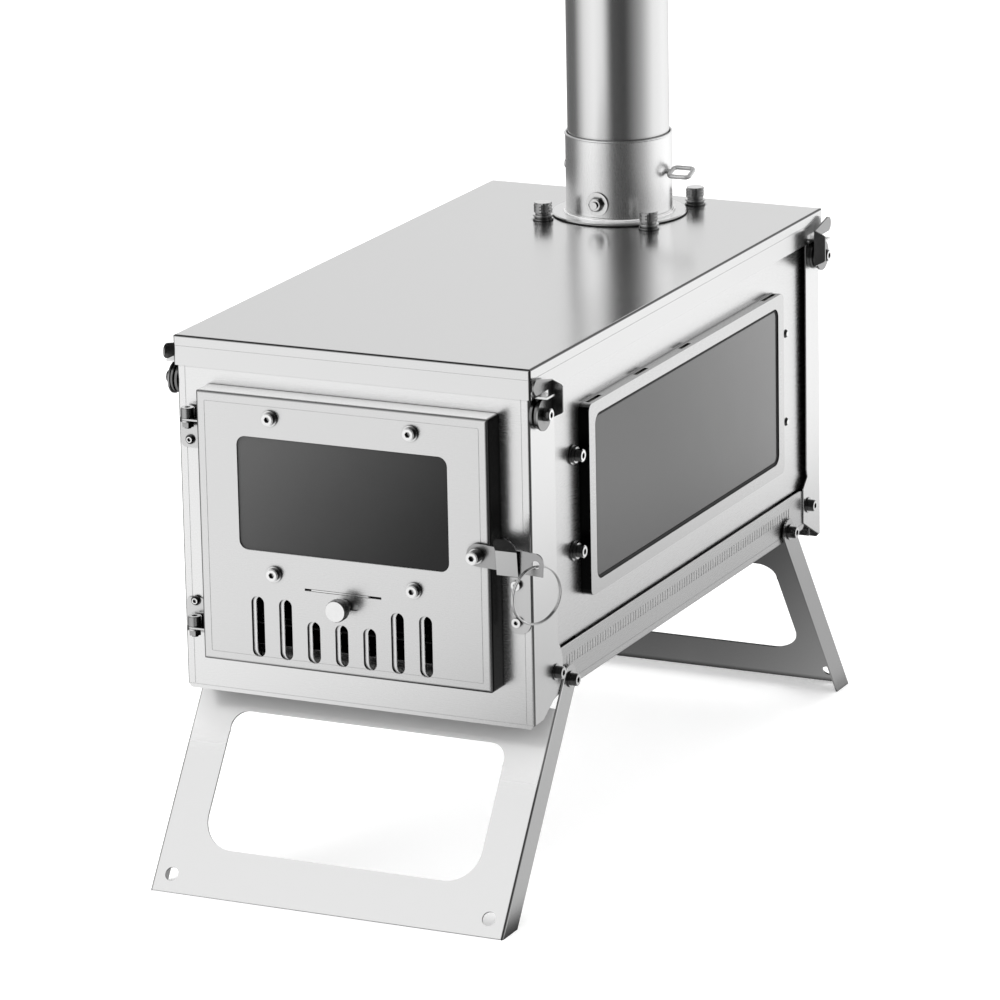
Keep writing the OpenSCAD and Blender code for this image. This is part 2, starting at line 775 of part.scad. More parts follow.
module thumb_washers()
  color("lightgray")
    stand()
      at_nuts()
        for (i = [0, 1])
          translate([0, 0, body_h + i * 1.2 * mm])
            difference() {
              cylinder(r = (i == 0 ? 7.6 : 7.1) * mm, h = 1.2 * mm);
              translate([0, 0, -cut]) cylinder(r = bolt_r + pin_gap, h = rim_drop);
            }

// bolt out of the collar with a washer and a hexagon nut
module collar_screw() {
  y = -collar_r - collar_t;
  color("lightgray")
    stand()
      translate([0, flue_y, collar_screw_z]) {
        rod_y(collar_washer_r, y - mm, y);
        translate([0, y - mm, 0]) rotate([90, 0, 0])
          intersection() {
            cylinder(r = collar_nut_r, h = collar_nut_h, $fn = 6);
            union() {
              cylinder(r = collar_nut_r, h = collar_nut_h - 0.6 * mm);
              translate([0, 0, collar_nut_h - 0.6 * mm])
                cylinder(r1 = collar_nut_r, r2 = collar_nut_r - mm, h = 0.6 * mm);
            }
          }
        rod_y(bolt_r, y - collar_nut_h - 2.4 * mm, y + 3.4 * mm);
      }
}

// pipe with a widened socket at its top
module flue_pipe() {
  r0 = pipe_r - pipe_wall;
  r1 = pipe_r + pipe_gap;
  top = pipe_z + pipe_l;
  low = top - socket_l;
  color("silver")
    stand()
      translate([0, flue_y, 0])
        rotate_extrude() {
          polygon([
            [r0, pipe_z], [pipe_r, pipe_z], [pipe_r, low - 2 * mm], [r1 + pipe_wall, low + mm],
            [r1 + pipe_wall, top - 0.8 * mm], [r1, top - 0.8 * mm], [r1, low], [r0, low - 3 * mm]
          ]);
          translate([r1 + 0.7 * mm, top - 0.8 * mm]) circle(0.7 * mm);
        }
}

module damper_turn() stand() translate([0, flue_y, damper_z]) rotate([damper_tilt, 0, 0]) children();

module damper_plate()
  color("gray")
    damper_turn()
      difference() {
        union() {
          translate([0, 0, -0.5 * mm]) cylinder(r = damper_r, h = mm);
          rod_x(spindle_r + 0.8 * mm, -damper_r * 0.7, damper_r * 0.7);
        }
        rod_x(spindle_r, -foot_r, foot_r);
      }

// spindle through the collar, closed wire handle outside it
module damper_handle() {
  bend = 2.4 * mm;
  color("lightgray")
    damper_turn() {
      rod_x(spindle_r, -collar_r - 3.2 * mm, handle_x + 0.5 * mm);
      rod_x(spindle_r + mm, -collar_r - 4 * mm, -collar_r - collar_t - axial_gap);
      for (x = [handle_x, handle_end])
        translate([x, 0, 0]) rod_y(wire_r, -handle_half + bend, handle_half - bend);
      for (y = [-handle_half, handle_half])
        translate([0, y, 0]) rod_x(wire_r, handle_x + bend, handle_end - bend);
      for (c = [[0, 0], [1, 90], [2, 180], [3, 270]])
        translate([(c[0] == 0 || c[0] == 3) ? handle_end - bend : handle_x + bend,
                   (c[0] < 2) ? handle_half - bend : -handle_half + bend, 0])
          rotate([0, 0, c[1]])
            rotate_extrude(angle = 90) translate([bend, 0]) circle(wire_r);
    }
}

// door: folded tray with a window, air slots, a guide slit and screw holes
module door_block(w, h, y, r) {
  deep = 60 * mm;
  intersection() {
    xz(y, deep) translate([0, door_mid_z]) rounded(w, h, r);
    yz(-lid_x, lid_w) translate([y + deep / 2, door_mid_z]) rounded(deep, h, r);
    translate([0, y + deep / 2, 0]) linear_extrude(body_h) rounded(w, deep, r);
  }
}

module air_slots(w, shift)
  for (i = [0:air_count - 1]) {
    h = (i < 2 || i > air_count - 3) ? air_tall : air_short;
    translate([air_mid + shift + (i - (air_count - 1) / 2) * air_pitch, air_z + h / 2])
      stadium(w, h);
  }

module door_shell()
  color("silver")
    stand()
      difference() {
        door_block(door_w, door_h, door_front, door_r);
        door_block(door_w - 2 * sheet, door_h - 2 * sheet, door_in, door_r - sheet);
        box([-lid_x, door_back, 0], [lid_x, 0, body_h]);
        xz(door_front - cut, cut + crease_d)
          translate([0, door_mid_z])
            crease_ring(door_w - 2 * door_crease, door_h - 2 * door_crease, mm);
        xz(door_front - cut, 2 * cut) {
          translate([0, win_z]) rounded(door_win_w, door_win_h, door_win_r);
          air_slots(air_w, 0);
          translate([slit_mid, slit_z]) square([slit_w, slit_h], center = true);
          translate([(stem_slot[0] + stem_slot[1]) / 2, knob_z])
            rotate(90) stadium(2 * (stem_r + move_gap), stem_slot[1] - stem_slot[0]);
          for (x = [-door_screw_x, door_screw_x], z = door_screw_zs)
            translate([x, z]) circle(bolt_r);
          translate([arm_x, arm_z]) circle(bolt_r);
        }
      }

module door_glass()
  color("dimgray")
    stand()
      xz(door_in, door_glass_t)
        translate([0, win_z]) rounded(door_glass_w, door_glass_h, clamp_r);

module door_glass_clamp()
  color("darkgray")
    stand()
      difference() {
        xz(door_in + door_glass_t, sheet)
          translate([0, win_z])
            rounded(clamp_w, clamp_h, clamp_r);
        xz(door_in, 3 * door_glass_t) {
          translate([0, win_z]) rounded(door_win_w, door_win_h, door_win_r);
          for (x = [-door_screw_x, door_screw_x], z = door_screw_zs)
            translate([x, z]) circle(bolt_r);
        }
      }

// four screws through the door and the clamp, on spacers outside and inside
module door_screws()
  color("lightgray")
    stand()
      for (x = [-door_screw_x, door_screw_x], z = door_screw_zs)
        translate([x, 0, z]) {
          rod_y(4.4 * mm, door_front - 1.4 * mm, door_front);
          rod_y(4 * mm, door_in, door_in + door_glass_t);
          screw_y(door_in + door_glass_t + sheet, door_front - 1.4 * mm, 2.8 * mm);
        }

// hinge leaf lying flat: pad of length l behind the pin's eye
module ear_plate(l) {
  circle(ear_r);
  translate([0, -ear_r]) square([l, 2 * ear_r]);
}

module door_hinge_ears() {
  reach = -door_w / 2 - hinge_x;
  color("silver")
    stand()
      for (z = [upper_ear, lower_ear])
        difference() {
          union() {
            translate([hinge_x, hinge_y, z + ear_gap])
              linear_extrude(ear_t) ear_plate(reach);
            box([-door_w / 2 - ear_t, hinge_y - ear_r, z + ear_gap],
                [-door_w / 2, hinge_y + ear_r, z + ear_gap + 7 * mm]);
          }
          translate([hinge_x, hinge_y, z - cut])
            cylinder(r = hinge_pin_r + pin_gap, h = 3 * cut);
        }
}

// angle brackets on the front panel; the upper hangs down, the lower stands up
module hinge_brackets()
  color("silver")
    stand()
      for (e = [[upper_ear, -1], [lower_ear, 1]])
        difference() {
          union() {
            translate([hinge_x, hinge_y, e[0] - ear_t])
              linear_extrude(ear_t) {
                circle(ear_r);
                translate([-ear_r, 0]) square([2 * ear_r, -panel_y - hinge_y]);
              }
            xz(-panel_y - ear_t, ear_t)
              translate([bracket_screw_x, e[0] - ear_t / 2 + e[1] * 8 * mm])
                rounded(bracket_w, 17 * mm, 3 * mm);
          }
          translate([hinge_x, hinge_y, e[0] - cut])
            cylinder(r = hinge_pin_r, h = 2 * cut);
        }

module hinge_bracket_screws()
  color("lightgray")
    stand()
      for (z = [upper_ear - 12.5 * mm, lower_ear + 14.3 * mm])
        translate([bracket_screw_x, 0, z]) {
          translate([0, -panel_y - ear_t, 0]) rotate([90, 0, 0])
            difference() {
              union() {
                cylinder(r = button_r, h = mm);
                translate([0, 0, mm]) cylinder(r1 = button_r, r2 = button_r - mm, h = mm);
              }
              translate([0, 0, 0.8 * mm]) cylinder(r = 1.2 * mm, h = cut, $fn = 6);
            }
          translate([0, -panel_back + nut_h, 0]) rotate([90, 0, 0])
            cylinder(r = nut_r - mm, h = nut_h, $fn = 6);
        }

module hinge_bolts() {
  top = ear_gap + ear_t + axial_gap;
  color("lightgray")
    stand()
      for (z = [upper_ear, lower_ear])
        translate([hinge_x, hinge_y, z]) {
          translate([0, 0, top]) socket_head(hinge_head_r, hinge_head_h);
          translate([0, 0, -ear_t - 4 * mm]) cylinder(r = hinge_pin_r, h = ear_t + top + 5 * mm);
          translate([0, 0, -ear_t - 3 * mm]) cylinder(r = 3.6 * mm, h = 3 * mm, $fn = 6);
        }
}

// guides inside the door that the slider runs in
module slider_guides() {
  back = slider_y + slider_t + move_gap;
  low = door_z + sheet;
  t = 0.8 * mm;
  color("darkgray")
    stand() {
      box([-guide_x, back, low + 0.15 * mm], [guide_x, back + t, slider_low + 1.2 * mm]);
      box([-guide_x, back + t, low], [guide_x, back + 5 * mm, low + t]);
      for (x = [[-guide_x, guide_ends[0]], [guide_ends[1], guide_x]]) {
        box([x[0], door_in, slider_high + move_gap],
            [x[1], back + t, slider_high + 1.5 * mm]);
        box([x[0], back, slider_high - 1.2 * mm],
            [x[1], back + t, slider_high + 1.5 * mm]);
      }
    }
}

module air_slider()
  color("whitesmoke")
    stand() {
      difference() {
        xz(slider_y, slider_t)
          translate([(slider_x[0] + slider_x[1]) / 2, (slider_low + slider_high) / 2])
            rounded(slider_x[1] - slider_x[0], slider_high - slider_low, 2 * mm);
        xz(slider_y - cut, 3 * cut) air_slots(air_w, slider_shift);
      }
      box([tab_mid - tab_w / 2, slider_y, slider_high - mm],
          [tab_mid + tab_w / 2, slider_y + slider_t, slit_z + tab_t / 2]);
      box([tab_mid - tab_w / 2, door_front + 0.1 * mm, slit_z - tab_t / 2],
          [tab_mid + tab_w / 2, slider_y + slider_t, slit_z + tab_t / 2]);
    }

module air_knob() {
  face = door_front - knob_reach;
  color("lightgray")
    stand()
      translate([0, 0, knob_z]) {
        translate([0, face + knob_len, 0]) rotate([90, 0, 0])
          knurled_barrel(knob_d / 2, knob_len, 36, 0.4 * mm);
        rod_y(3.9 * mm, face + knob_len, door_front - 0.4 * mm);
        rod_y(stem_r, face + knob_len, slider_y);
      }
}

// latch arm: strip with a round eye, its outer end cut square below
module latch_arm()
  color("silver")
    stand()
      translate([arm_x, arm_y + arm_t, arm_z]) rotate([90, 0, 0]) rotate([0, 0, -arm_droop])
        difference() {
          linear_extrude(arm_t) {
            circle(arm_w / 2);
            translate([0, -arm_w / 2]) square([arm_l - 5 * mm, arm_w]);
            translate([0, -arm_w / 2]) square([arm_l, arm_w - 5 * mm]);
            translate([arm_l - 5 * mm, arm_w / 2 - 5 * mm]) circle(5 * mm);
          }
          translate([0, 0, -cut]) cylinder(r = bolt_r + pin_gap, h = 3 * cut);
          translate([ring_at, 0, -cut]) cylinder(r = ring_hole_r, h = 3 * cut);
        }

module latch_pivot_screw()
  color("lightgray")
    stand()
      translate([arm_x, 0, arm_z]) {
        rod_y(4 * mm, arm_y + arm_t + axial_gap, door_front);
        rod_y(4.2 * mm, arm_y - 2.2 * mm, arm_y - axial_gap);
        rod_y(3.3 * mm, arm_y - 3.4 * mm, arm_y - 2.2 * mm);
        screw_y(door_in, arm_y - 3.4 * mm, head_h);
      }

// centre line drawn as a strip of even thickness with round corners
module strip_line(pts, t) {
  for (i = [0:len(pts) - 2]) {
    d = pts[i + 1] - pts[i];
    translate(pts[i]) rotate(atan2(d[1], d[0])) translate([0, -t / 2]) square([norm(d), t]);
  }
  for (i = [1:len(pts) - 2])
    translate(pts[i]) circle(t / 2);
}

module latch_keeper() {
  t = 0.5 * mm;
  bottom = [door_front - 3.4 * mm, keeper_floor - t];
  flap = bottom + keeper_flap * [-sin(keeper_lean), cos(keeper_lean)];
  tip = flap + keeper_tab * [-sin(keeper_flare), cos(keeper_flare)];
  low = keeper_low + keeper_w / 2;
  color("silver")
    stand()
      difference() {
        intersection() {
          yz(keeper_x - keeper_w / 2, keeper_w + flap_w)
            strip_line([[-panel_y - t, keeper_low - mm], [-panel_y - t, keeper_floor - t],
                        bottom, flap, tip], 2 * t);
          xz(-lid_y - 40 * mm, 60 * mm) {
            translate([keeper_x, low]) circle(keeper_w / 2);
            translate([keeper_x - keeper_w / 2, low])
              square([keeper_w, keeper_floor - low - 4 * t]);
            translate([flap_x - flap_w / 2, keeper_floor - 4 * t])
              square([flap_w, tip[1] + 4 * t - keeper_floor - flap_w / 3]);
            translate([flap_x, tip[1] - flap_w / 2 + 0.4 * mm]) circle(flap_w / 2);
          }
        }
        for (z = keeper_screw_zs)
          translate([keeper_screw_x, 0, z]) rod_y(1.5 * mm, -lid_y - cut, -panel_back + cut);
      }
}

module keeper_screws()
  color("lightgray")
    stand()
      for (z = keeper_screw_zs)
        translate([keeper_screw_x, 0, z]) {
          translate([0, -panel_y - mm, 0]) rotate([90, 0, 0])
            difference() {
              cylinder(r = 2.6 * mm, h = 2.4 * mm);
              translate([0, 0, mm]) cylinder(r = 1.3 * mm, h = cut, $fn = 6);
            }
          rod_y(1.5 * mm, -panel_y - mm, -panel_y);
          translate([0, -panel_back + nut_h, 0]) rotate([90, 0, 0])
            cylinder(r = nut_r - mm, h = nut_h, $fn = 6);
        }

// pull ring: two turns of wire hanging in the arm's eye
module latch_ring()
  color("lightgray")
    stand()
      translate([ring_x, arm_y + arm_t / 2, ring_z - ring_hang - ring_r])
        rotate([0, 0, ring_turn]) rotate([90, 0, 0])
          for (s = [-1, 1])
            translate([0, 0, s * (ring_wire / 2 + 0.01 * mm)])
              rotate_extrude() translate([ring_r, 0]) circle(ring_wire / 2);

// leg in its own frame: pivot at the origin, foot towards -Z, plate towards -Y
module leg() {
  long = 200 * mm;
  foot = leg_l - leg_gap_h - 27.8 * mm;
  difference() {
    intersection() {
      difference() {
        translate([0, long / 2 - leg_half, -long])
          linear_extrude(2 * long) rounded(2 * leg_out, long, bend_r);
        translate([0, long / 2 - leg_half + sheet, -long - cut])
          linear_extrude(2 * long + 2 * cut) rounded(2 * leg_in, long, bend_r - sheet);
      }
      yz(-lid_x, lid_w) {
        circle(leg_half);
        translate([-leg_half, -long]) square([2 * leg_half, long]);
      }
    }
    box([-leg_in, -leg_half - cut, -20 * mm], [leg_in, leg_half, long]);
    box([-leg_in, -leg_half - cut, -long], [leg_in, leg_half, -leg_l]);
    xz(-leg_half - cut, 3 * cut) {
      h = leg_gap_h;
      translate([0, -foot - h / 2]) {
        square([2 * leg_half_gap - 38 * mm, h], center = true);
        translate([0, 3 * mm]) square([2 * leg_half_gap, h - 32 * mm], center = true);
        translate([0, h / 2 - 15 * mm]) square([2 * leg_half_gap - 20 * mm, 30 * mm], center = true);
        for (s = [-1, 1]) {
          translate([s * (leg_half_gap - 19 * mm), -h / 2 + 19 * mm]) circle(19 * mm);
          translate([s * (leg_half_gap - 10 * mm), h / 2 - 10 * mm]) circle(10 * mm);
        }
      }
    }
    for (s = [-1, 1])
      translate([s * (leg_out - 10.7 * mm), -leg_half - cut, -leg_l + 10.3 * mm])
        rotate([-90, 0, 0]) cylinder(r = peg_r, h = 3 * cut);
    rod_x(bolt_r + pin_gap, -lid_x - cut, lid_x + cut);
  }
}

// leg turned to its splay about the pivot p, cut level with the ground
module splayed(p, turn) {
  stand()
    difference() {
      translate([0, p[0], p[1]]) rotate([turn, 0, 0]) children();
      translate([0, p[0], -stand_h - lid_w / 2]) cube([2 * lid_w, 2 * lid_l, lid_w], center = true);
    }
}

module leg_front() color("silver") splayed(front_leg, -splay) leg();

module leg_rear() color("silver") splayed(rear_leg, splay) mirror([0, 1, 0]) leg();

// corner latch seen from outside: Y grows towards the lid's end
module corner_latch() {
  difference() {
    yz(latch_x, latch_t) {
      circle(hook_r);
      translate([-hook_neck, tab_low[0]])
        square([hook_neck_w, hook_open + 2 * mm - tab_low[0]]);
      translate([-hook_neck, 0]) square([hook_neck, hook_r * 0.6]);
      polygon([
        [-hook_neck, hook_open], [hook_out - hook_end_r, hook_open],
        [hook_out - hook_end_r, hook_open + 2 * hook_end_r], [-hook_neck, tab_high[0]]
      ]);
      translate([hook_out - hook_end_r, hook_open + hook_end_r]) circle(hook_end_r);
    }
    rod_x(bolt_r + pin_gap, latch_x - cut, latch_x + cut);
    box([latch_x - cut, -hook_neck + hook_neck_w, hook_r],
        [latch_x + cut, hook_out + cut, hook_open]);
  }
  xz(-hook_neck, latch_t)
    polygon([
      [latch_x, tab_low[0]], [latch_x + tab_reach - mm, tab_low[1] - 0.4 * mm],
      [latch_x + tab_reach, tab_low[1] + 0.6 * mm], [latch_x + tab_reach, tab_high[1] - 0.8 * mm],
      [latch_x + tab_reach - mm, tab_high[1] + 0.4 * mm], [latch_x, tab_high[0]]
    ]);
}

module at_corner(sx, sy)
  stand()
    mirror([sx < 0 ? 1 : 0, 0, 0]) mirror([0, sy < 0 ? 1 : 0, 0])
      translate([0, latch_y, latch_z]) children();

module corner_latch_front_left() color("gainsboro") at_corner(-1, -1) corner_latch();

module corner_latch_front_right() color("gainsboro") at_corner(1, -1) corner_latch();

module corner_latch_rear_left() color("gainsboro") at_corner(-1, 1) corner_latch();

module corner_latch_rear_right() color("gainsboro") at_corner(1, 1) corner_latch();

module corner_latch_screws()
  color("lightgray")
    for (sx = [-1, 1], sy = [-1, 1])
      at_corner(sx, sy) {
        translate([latch_x + latch_t + axial_gap, 0, 0]) rotate([0, 90, 0])
          socket_head(head_r, head_h);
        rod_x(bolt_r, panel_in - nut_h, latch_x + latch_t + mm);
        translate([panel_in - nut_h, 0, 0]) rotate([0, 90, 0])
          cylinder(r = nut_r, h = nut_h, $fn = 6);
      }

module corner_latch_washers()
  color("lightgray")
    for (sx = [-1, 1], sy = [-1, 1])
      at_corner(sx, sy) {
        n = 3;
        t = (latch_x - axial_gap - panel_out) / n;
        for (i = [0:n - 1])
          difference() {
            rod_x(i == 1 ? stack_r - 1.6 * mm : stack_r, panel_out + i * t, panel_out + (i + 1) * t);
            rod_x(bolt_r, panel_out - cut, latch_x + cut);
          }
      }

base_tray();
front_panel();
rear_panel();
side_panel_left();
side_panel_right();
side_frame_left();
side_frame_right();
side_glass_left();
side_glass_right();
side_gasket_left();
side_gasket_right();
side_frame_screws();
side_rivets();
fire_grate();
panel_pivot_screws();
leg_pivot_screws();
lid();
flue_collar();
flue_mount_plate();
thumb_nuts();
thumb_washers();
collar_screw();
flue_pipe();
damper_plate();
damper_handle();
door_shell();
door_glass();
door_glass_clamp();
door_screws();
door_hinge_ears();
hinge_brackets();
hinge_bracket_screws();
hinge_bolts();
slider_guides();
air_slider();
air_knob();
latch_arm();
latch_pivot_screw();
latch_keeper();
keeper_screws();
latch_ring();
leg_front();
leg_rear();
corner_latch_front_left();
corner_latch_front_right();
corner_latch_rear_left();
corner_latch_rear_right();
corner_latch_screws();
corner_latch_washers();
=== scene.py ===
"""Looks of the tent wood stove: finishes, fine pieces, studio and camera.

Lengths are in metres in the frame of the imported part: X runs across, Y from
front to back and Z up, with the ground at Z 0.
"""

import json
import logging
import math
from dataclasses import dataclass, field
from enum import Enum
from typing import Callable, Optional, Sequence

import bpy
from mathutils import Matrix, Vector

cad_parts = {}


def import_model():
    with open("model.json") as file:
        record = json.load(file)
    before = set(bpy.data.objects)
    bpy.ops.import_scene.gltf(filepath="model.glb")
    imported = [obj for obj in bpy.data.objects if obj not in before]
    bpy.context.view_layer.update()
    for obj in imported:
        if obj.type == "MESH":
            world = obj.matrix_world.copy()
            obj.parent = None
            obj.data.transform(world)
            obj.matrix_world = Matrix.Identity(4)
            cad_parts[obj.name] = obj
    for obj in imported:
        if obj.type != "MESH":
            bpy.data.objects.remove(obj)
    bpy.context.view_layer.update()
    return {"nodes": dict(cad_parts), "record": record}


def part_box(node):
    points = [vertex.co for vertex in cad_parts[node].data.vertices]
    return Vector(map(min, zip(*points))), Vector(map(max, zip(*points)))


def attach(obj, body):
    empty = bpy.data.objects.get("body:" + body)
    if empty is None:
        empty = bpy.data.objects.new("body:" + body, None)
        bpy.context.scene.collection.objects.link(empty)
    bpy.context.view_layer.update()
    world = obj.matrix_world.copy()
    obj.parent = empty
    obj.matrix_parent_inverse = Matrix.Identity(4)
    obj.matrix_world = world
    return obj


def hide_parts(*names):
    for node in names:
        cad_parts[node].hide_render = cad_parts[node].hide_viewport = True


LOG = logging.getLogger("stove")
FIREBOX_MID = 0.004
COLLAR_Y = 0.1565
STUD_SPACING = 0.034
PIPE_RADIUS = 0.0300
SAME_HEIGHT = 1e-6
RIM_STEPS = 2
RIM_ANGLE = math.radians(50)
# Ambient occlusion samples and limits for the painted shade in narrow gaps.
CREVICE_SAMPLES = 6
CREVICE_DARK = 0.2
CREVICE_OPEN = 0.8
Socket = bpy.types.NodeSocket
Piece = bpy.types.Object
Material = bpy.types.Material
Node = bpy.types.Node
Triple = tuple[float, float, float]
Pair = tuple[float, float]
Stops = tuple[Pair, ...]
BLACK: Triple = (0.0, 0.0, 0.0)
WHITE: Triple = (1.0, 1.0, 1.0)


class Grain(Enum):
    """Direction of a brushed finish's fine lines."""

    ALONG_X = (1.0, 90.0, 90.0)
    ALONG_Y = (90.0, 1.0, 90.0)
    ALONG_Z = (90.0, 90.0, 1.0)
    NONE = (30.0, 30.0, 30.0)


class Wires:
    """Small helper that lays out and links the nodes of one material."""

    def __init__(self, name: str) -> None:
        """Makes an empty material.

        Args:
            name: the material's name.
        """
        self.material = bpy.data.materials.new(name)
        self.material.use_nodes = True
        self.tree = self.material.node_tree
        self.tree.nodes.clear()
        self.out = self.add("ShaderNodeOutputMaterial")
        self.surface = self.add("ShaderNodeBsdfPrincipled")
        self.link(self.surface.outputs["BSDF"], self.out.inputs["Surface"])
        self.coords = self.add("ShaderNodeTexCoord")

    def add(self, kind: str, inputs: Optional[dict] = None, **values: object) -> Node:
        """Adds a node.

        Args:
            kind: the node's type name.
            inputs: sockets or plain values for its inputs.
            values: attributes to set on it.

        Returns:
            The new node.
        """
        node = self.tree.nodes.new(kind)
        for key, value in values.items():
            setattr(node, key, value)
        for key, value in (inputs or {}).items():
            self.feed(node.inputs[key], value)
        return node

    def paint(self, **inputs: object) -> None:
        """Feeds the surface's inputs, whose names have _ for a space."""
        for key, value in inputs.items():
            self.feed(self.surface.inputs[key.replace("_", " ")], value)

    def link(self, a: Socket, b: Socket) -> None:
        """Links two sockets."""
        self.tree.links.new(a, b)

    def feed(self, socket: Socket, value: object) -> None:
        """Links a socket or sets a plain value on it.

        Args:
            socket: the input to feed.
            value: a socket, a number or a colour.
        """
        if isinstance(value, Socket):
            self.link(value, socket)
        else:
            socket.default_value = value

    def math(self, kind: str, a: object, b: object = 0.0, c: object = 0.0) -> Socket:
        """Works out one of the Math node's operations on values or sockets."""
        return self.add("ShaderNodeMath", {0: a, 1: b, 2: c}, operation=kind).outputs[0]

    def times(self, a: object, b: object) -> Socket:
        """Multiplies two values or sockets."""
        return self.math("MULTIPLY", a, b)

    def swing(self, noise: Socket, depth: float, middle: float) -> Socket:
        """Lets a noise swing a level about its middle."""
        return self.math("MULTIPLY_ADD", noise, depth, middle - depth / 2)

    def ramp(self, value: object, stops: Stops) -> Socket:
        """Maps a value through a grey ramp.

        Args:
            value: the socket to map.
            stops: positions and grey levels.

        Returns:
            The ramp's grey level as a socket.
        """
        node = self.add("ShaderNodeValToRGB")
        band = node.color_ramp
        band.interpolation = "LINEAR"
        for i, (place, level) in enumerate(stops):
            stop = band.elements[i] if i < 2 else band.elements.new(place)
            stop.position = place
            stop.color = (level, level, level, 1.0)
        self.feed(node.inputs[0], value)
        return node.outputs[0]

    def noise(self, scale: float, detail: float = 3.0, stretch: Sequence[float] = (1, 1, 1),
              rough: float = 0.55) -> Socket:
        """Adds a noise in object coordinates.

        Args:
            scale: the noise's scale.
            detail: its octaves.
            stretch: scale factors along the axes.
            rough: how strong the small octaves are.

        Returns:
            The noise's value socket.
        """
        place = self.add("ShaderNodeMapping", {
            "Scale": tuple(stretch), "Vector": self.coords.outputs["Object"]})
        node = self.add("ShaderNodeTexNoise", {
            "Scale": scale, "Detail": detail, "Roughness": rough, "Vector": place.outputs[0]})
        return node.outputs["Fac"]

    def tint(self, fac: object, low: object, high: object) -> Socket:
        """Mixes two colours by a factor.

        Args:
            fac: the mix factor.
            low: colour or socket at 0.
            high: colour or socket at 1.

        Returns:
            The mixed colour's socket.
        """
        a, b = (v if isinstance(v, Socket) else (*v, 1.0) for v in (low, high))
        node = self.add("ShaderNodeMix", {"Factor": fac, "A": a, "B": b}, data_type="RGBA")
        return node.outputs["Result"]

    def base(self, level: Socket) -> None:
        """Feeds a grey level to the surface's base colour."""
        self.paint(Base_Color=self.tint(level, BLACK, WHITE))

    def step(self, value: object, start: float, stop: float) -> Socket:
        """Rises smoothly from 0 at one value to 1 at another."""
        node = self.add("ShaderNodeMapRange", {
            "From Min": start, "From Max": stop, "Value": value}, interpolation_type="SMOOTHSTEP")
        return node.outputs[0]

    def blend(self, low: object, high: object, fac: object) -> Socket:
        """Blends two levels by a factor."""
        return self.math("ADD", self.times(high, fac),
                         self.times(low, self.math("SUBTRACT", 1.0, fac)))

    def facing(self, lean: float = 0.0) -> list[Socket]:
        """Splits the surface's own normal into its sizes along the part's axes.

        Args:
            lean: degrees about X that the sheet stands off upright.

        Returns:
            The three sizes, each from 0 to 1.
        """
        turned = self.add("ShaderNodeVectorRotate", {
            "Angle": math.radians(lean), "Vector": self.coords.outputs["Normal"]},
            rotation_type="X_AXIS")
        return [self.math("ABSOLUTE", axis) for axis in self.axes(turned.outputs[0])]

    def axes(self, vector: Optional[Socket] = None) -> list[Socket]:
        """Splits a vector, or else the object coordinates, into X, Y and Z."""
        split = self.add("ShaderNodeSeparateXYZ", {0: vector or self.coords.outputs["Object"]})
        return [split.outputs[axis] for axis in "XYZ"]

    def within(self, room: "Room") -> Socket:
        """Marks the inside of the firebox.

        Args:
            room: the space to mark.

        Returns:
            A mask that is 1 inside.
        """
        x, y, z = self.axes()
        inside = self.math("LESS_THAN", self.math("ABSOLUTE", x), room.half_width)
        along = self.math("ABSOLUTE", self.math("SUBTRACT", y, FIREBOX_MID))
        inside = self.math("MINIMUM", inside, self.math("LESS_THAN", along, room.half_length))
        inside = self.math("MINIMUM", inside, self.math("GREATER_THAN", z, room.floor))
        return self.math("MINIMUM", inside, self.math("LESS_THAN", z, room.ceiling))

    def above(self, low: float, high: float) -> Socket:
        """Fades in from 0 at one height to 1 at another."""
        return self.step(self.axes()[2], low, high)

    def gap_shade(self, reach: float, darkest: float) -> Socket:
        """Paints shade: falls from 1 in the open to the darkest level in gaps as narrow as its
        reach.
        """
        node = self.add("ShaderNodeAmbientOcclusion", {"Distance": reach}, samples=CREVICE_SAMPLES)
        return self.ramp(node.outputs["AO"], ((CREVICE_DARK, darkest), (CREVICE_OPEN, 1.0)))

    def bump(self, height: Socket, strength: float, distance: float) -> None:
        """Feeds a height to the surface's normal, with one unit's size in metres."""
        node = self.add("ShaderNodeBump", {
            "Strength": strength, "Distance": distance, "Height": height})
        self.paint(Normal=node.outputs[0])


class Finish:
    """Surface of one kind, which makes its own material."""

    name: str

    def make(self) -> Material:
        """Builds the material.

        Returns:
            The finished material.
        """
        wires = Wires(self.name)
        self.lay(wires)
        return wires.material

    def lay(self, w: Wires) -> None:
        """Lays out the material's nodes, each finish in its own way."""
        raise NotImplementedError


@dataclass(frozen=True)
class PaintedFacing:
    """Painted light and shade on the faces that stand square to one axis, such as a pan's folded
    sides.
    """

    axis: str
    level: float
    metallic: float = 1.0


@dataclass(frozen=True)
class Room:
    """Space inside the firebox whose faces are darkened with painted shade."""

    half_width: float
    half_length: float
    floor: float
    ceiling: float = 0.3050


@dataclass(frozen=True)
class PaintedLightFade:
    """Fade to a less metallic, nearly matt surface towards a sheet's upper edge: painted light
    where the sheet mirrors the shade under the body.
    """

    start: float
    full: float
    level: float
    metallic: float


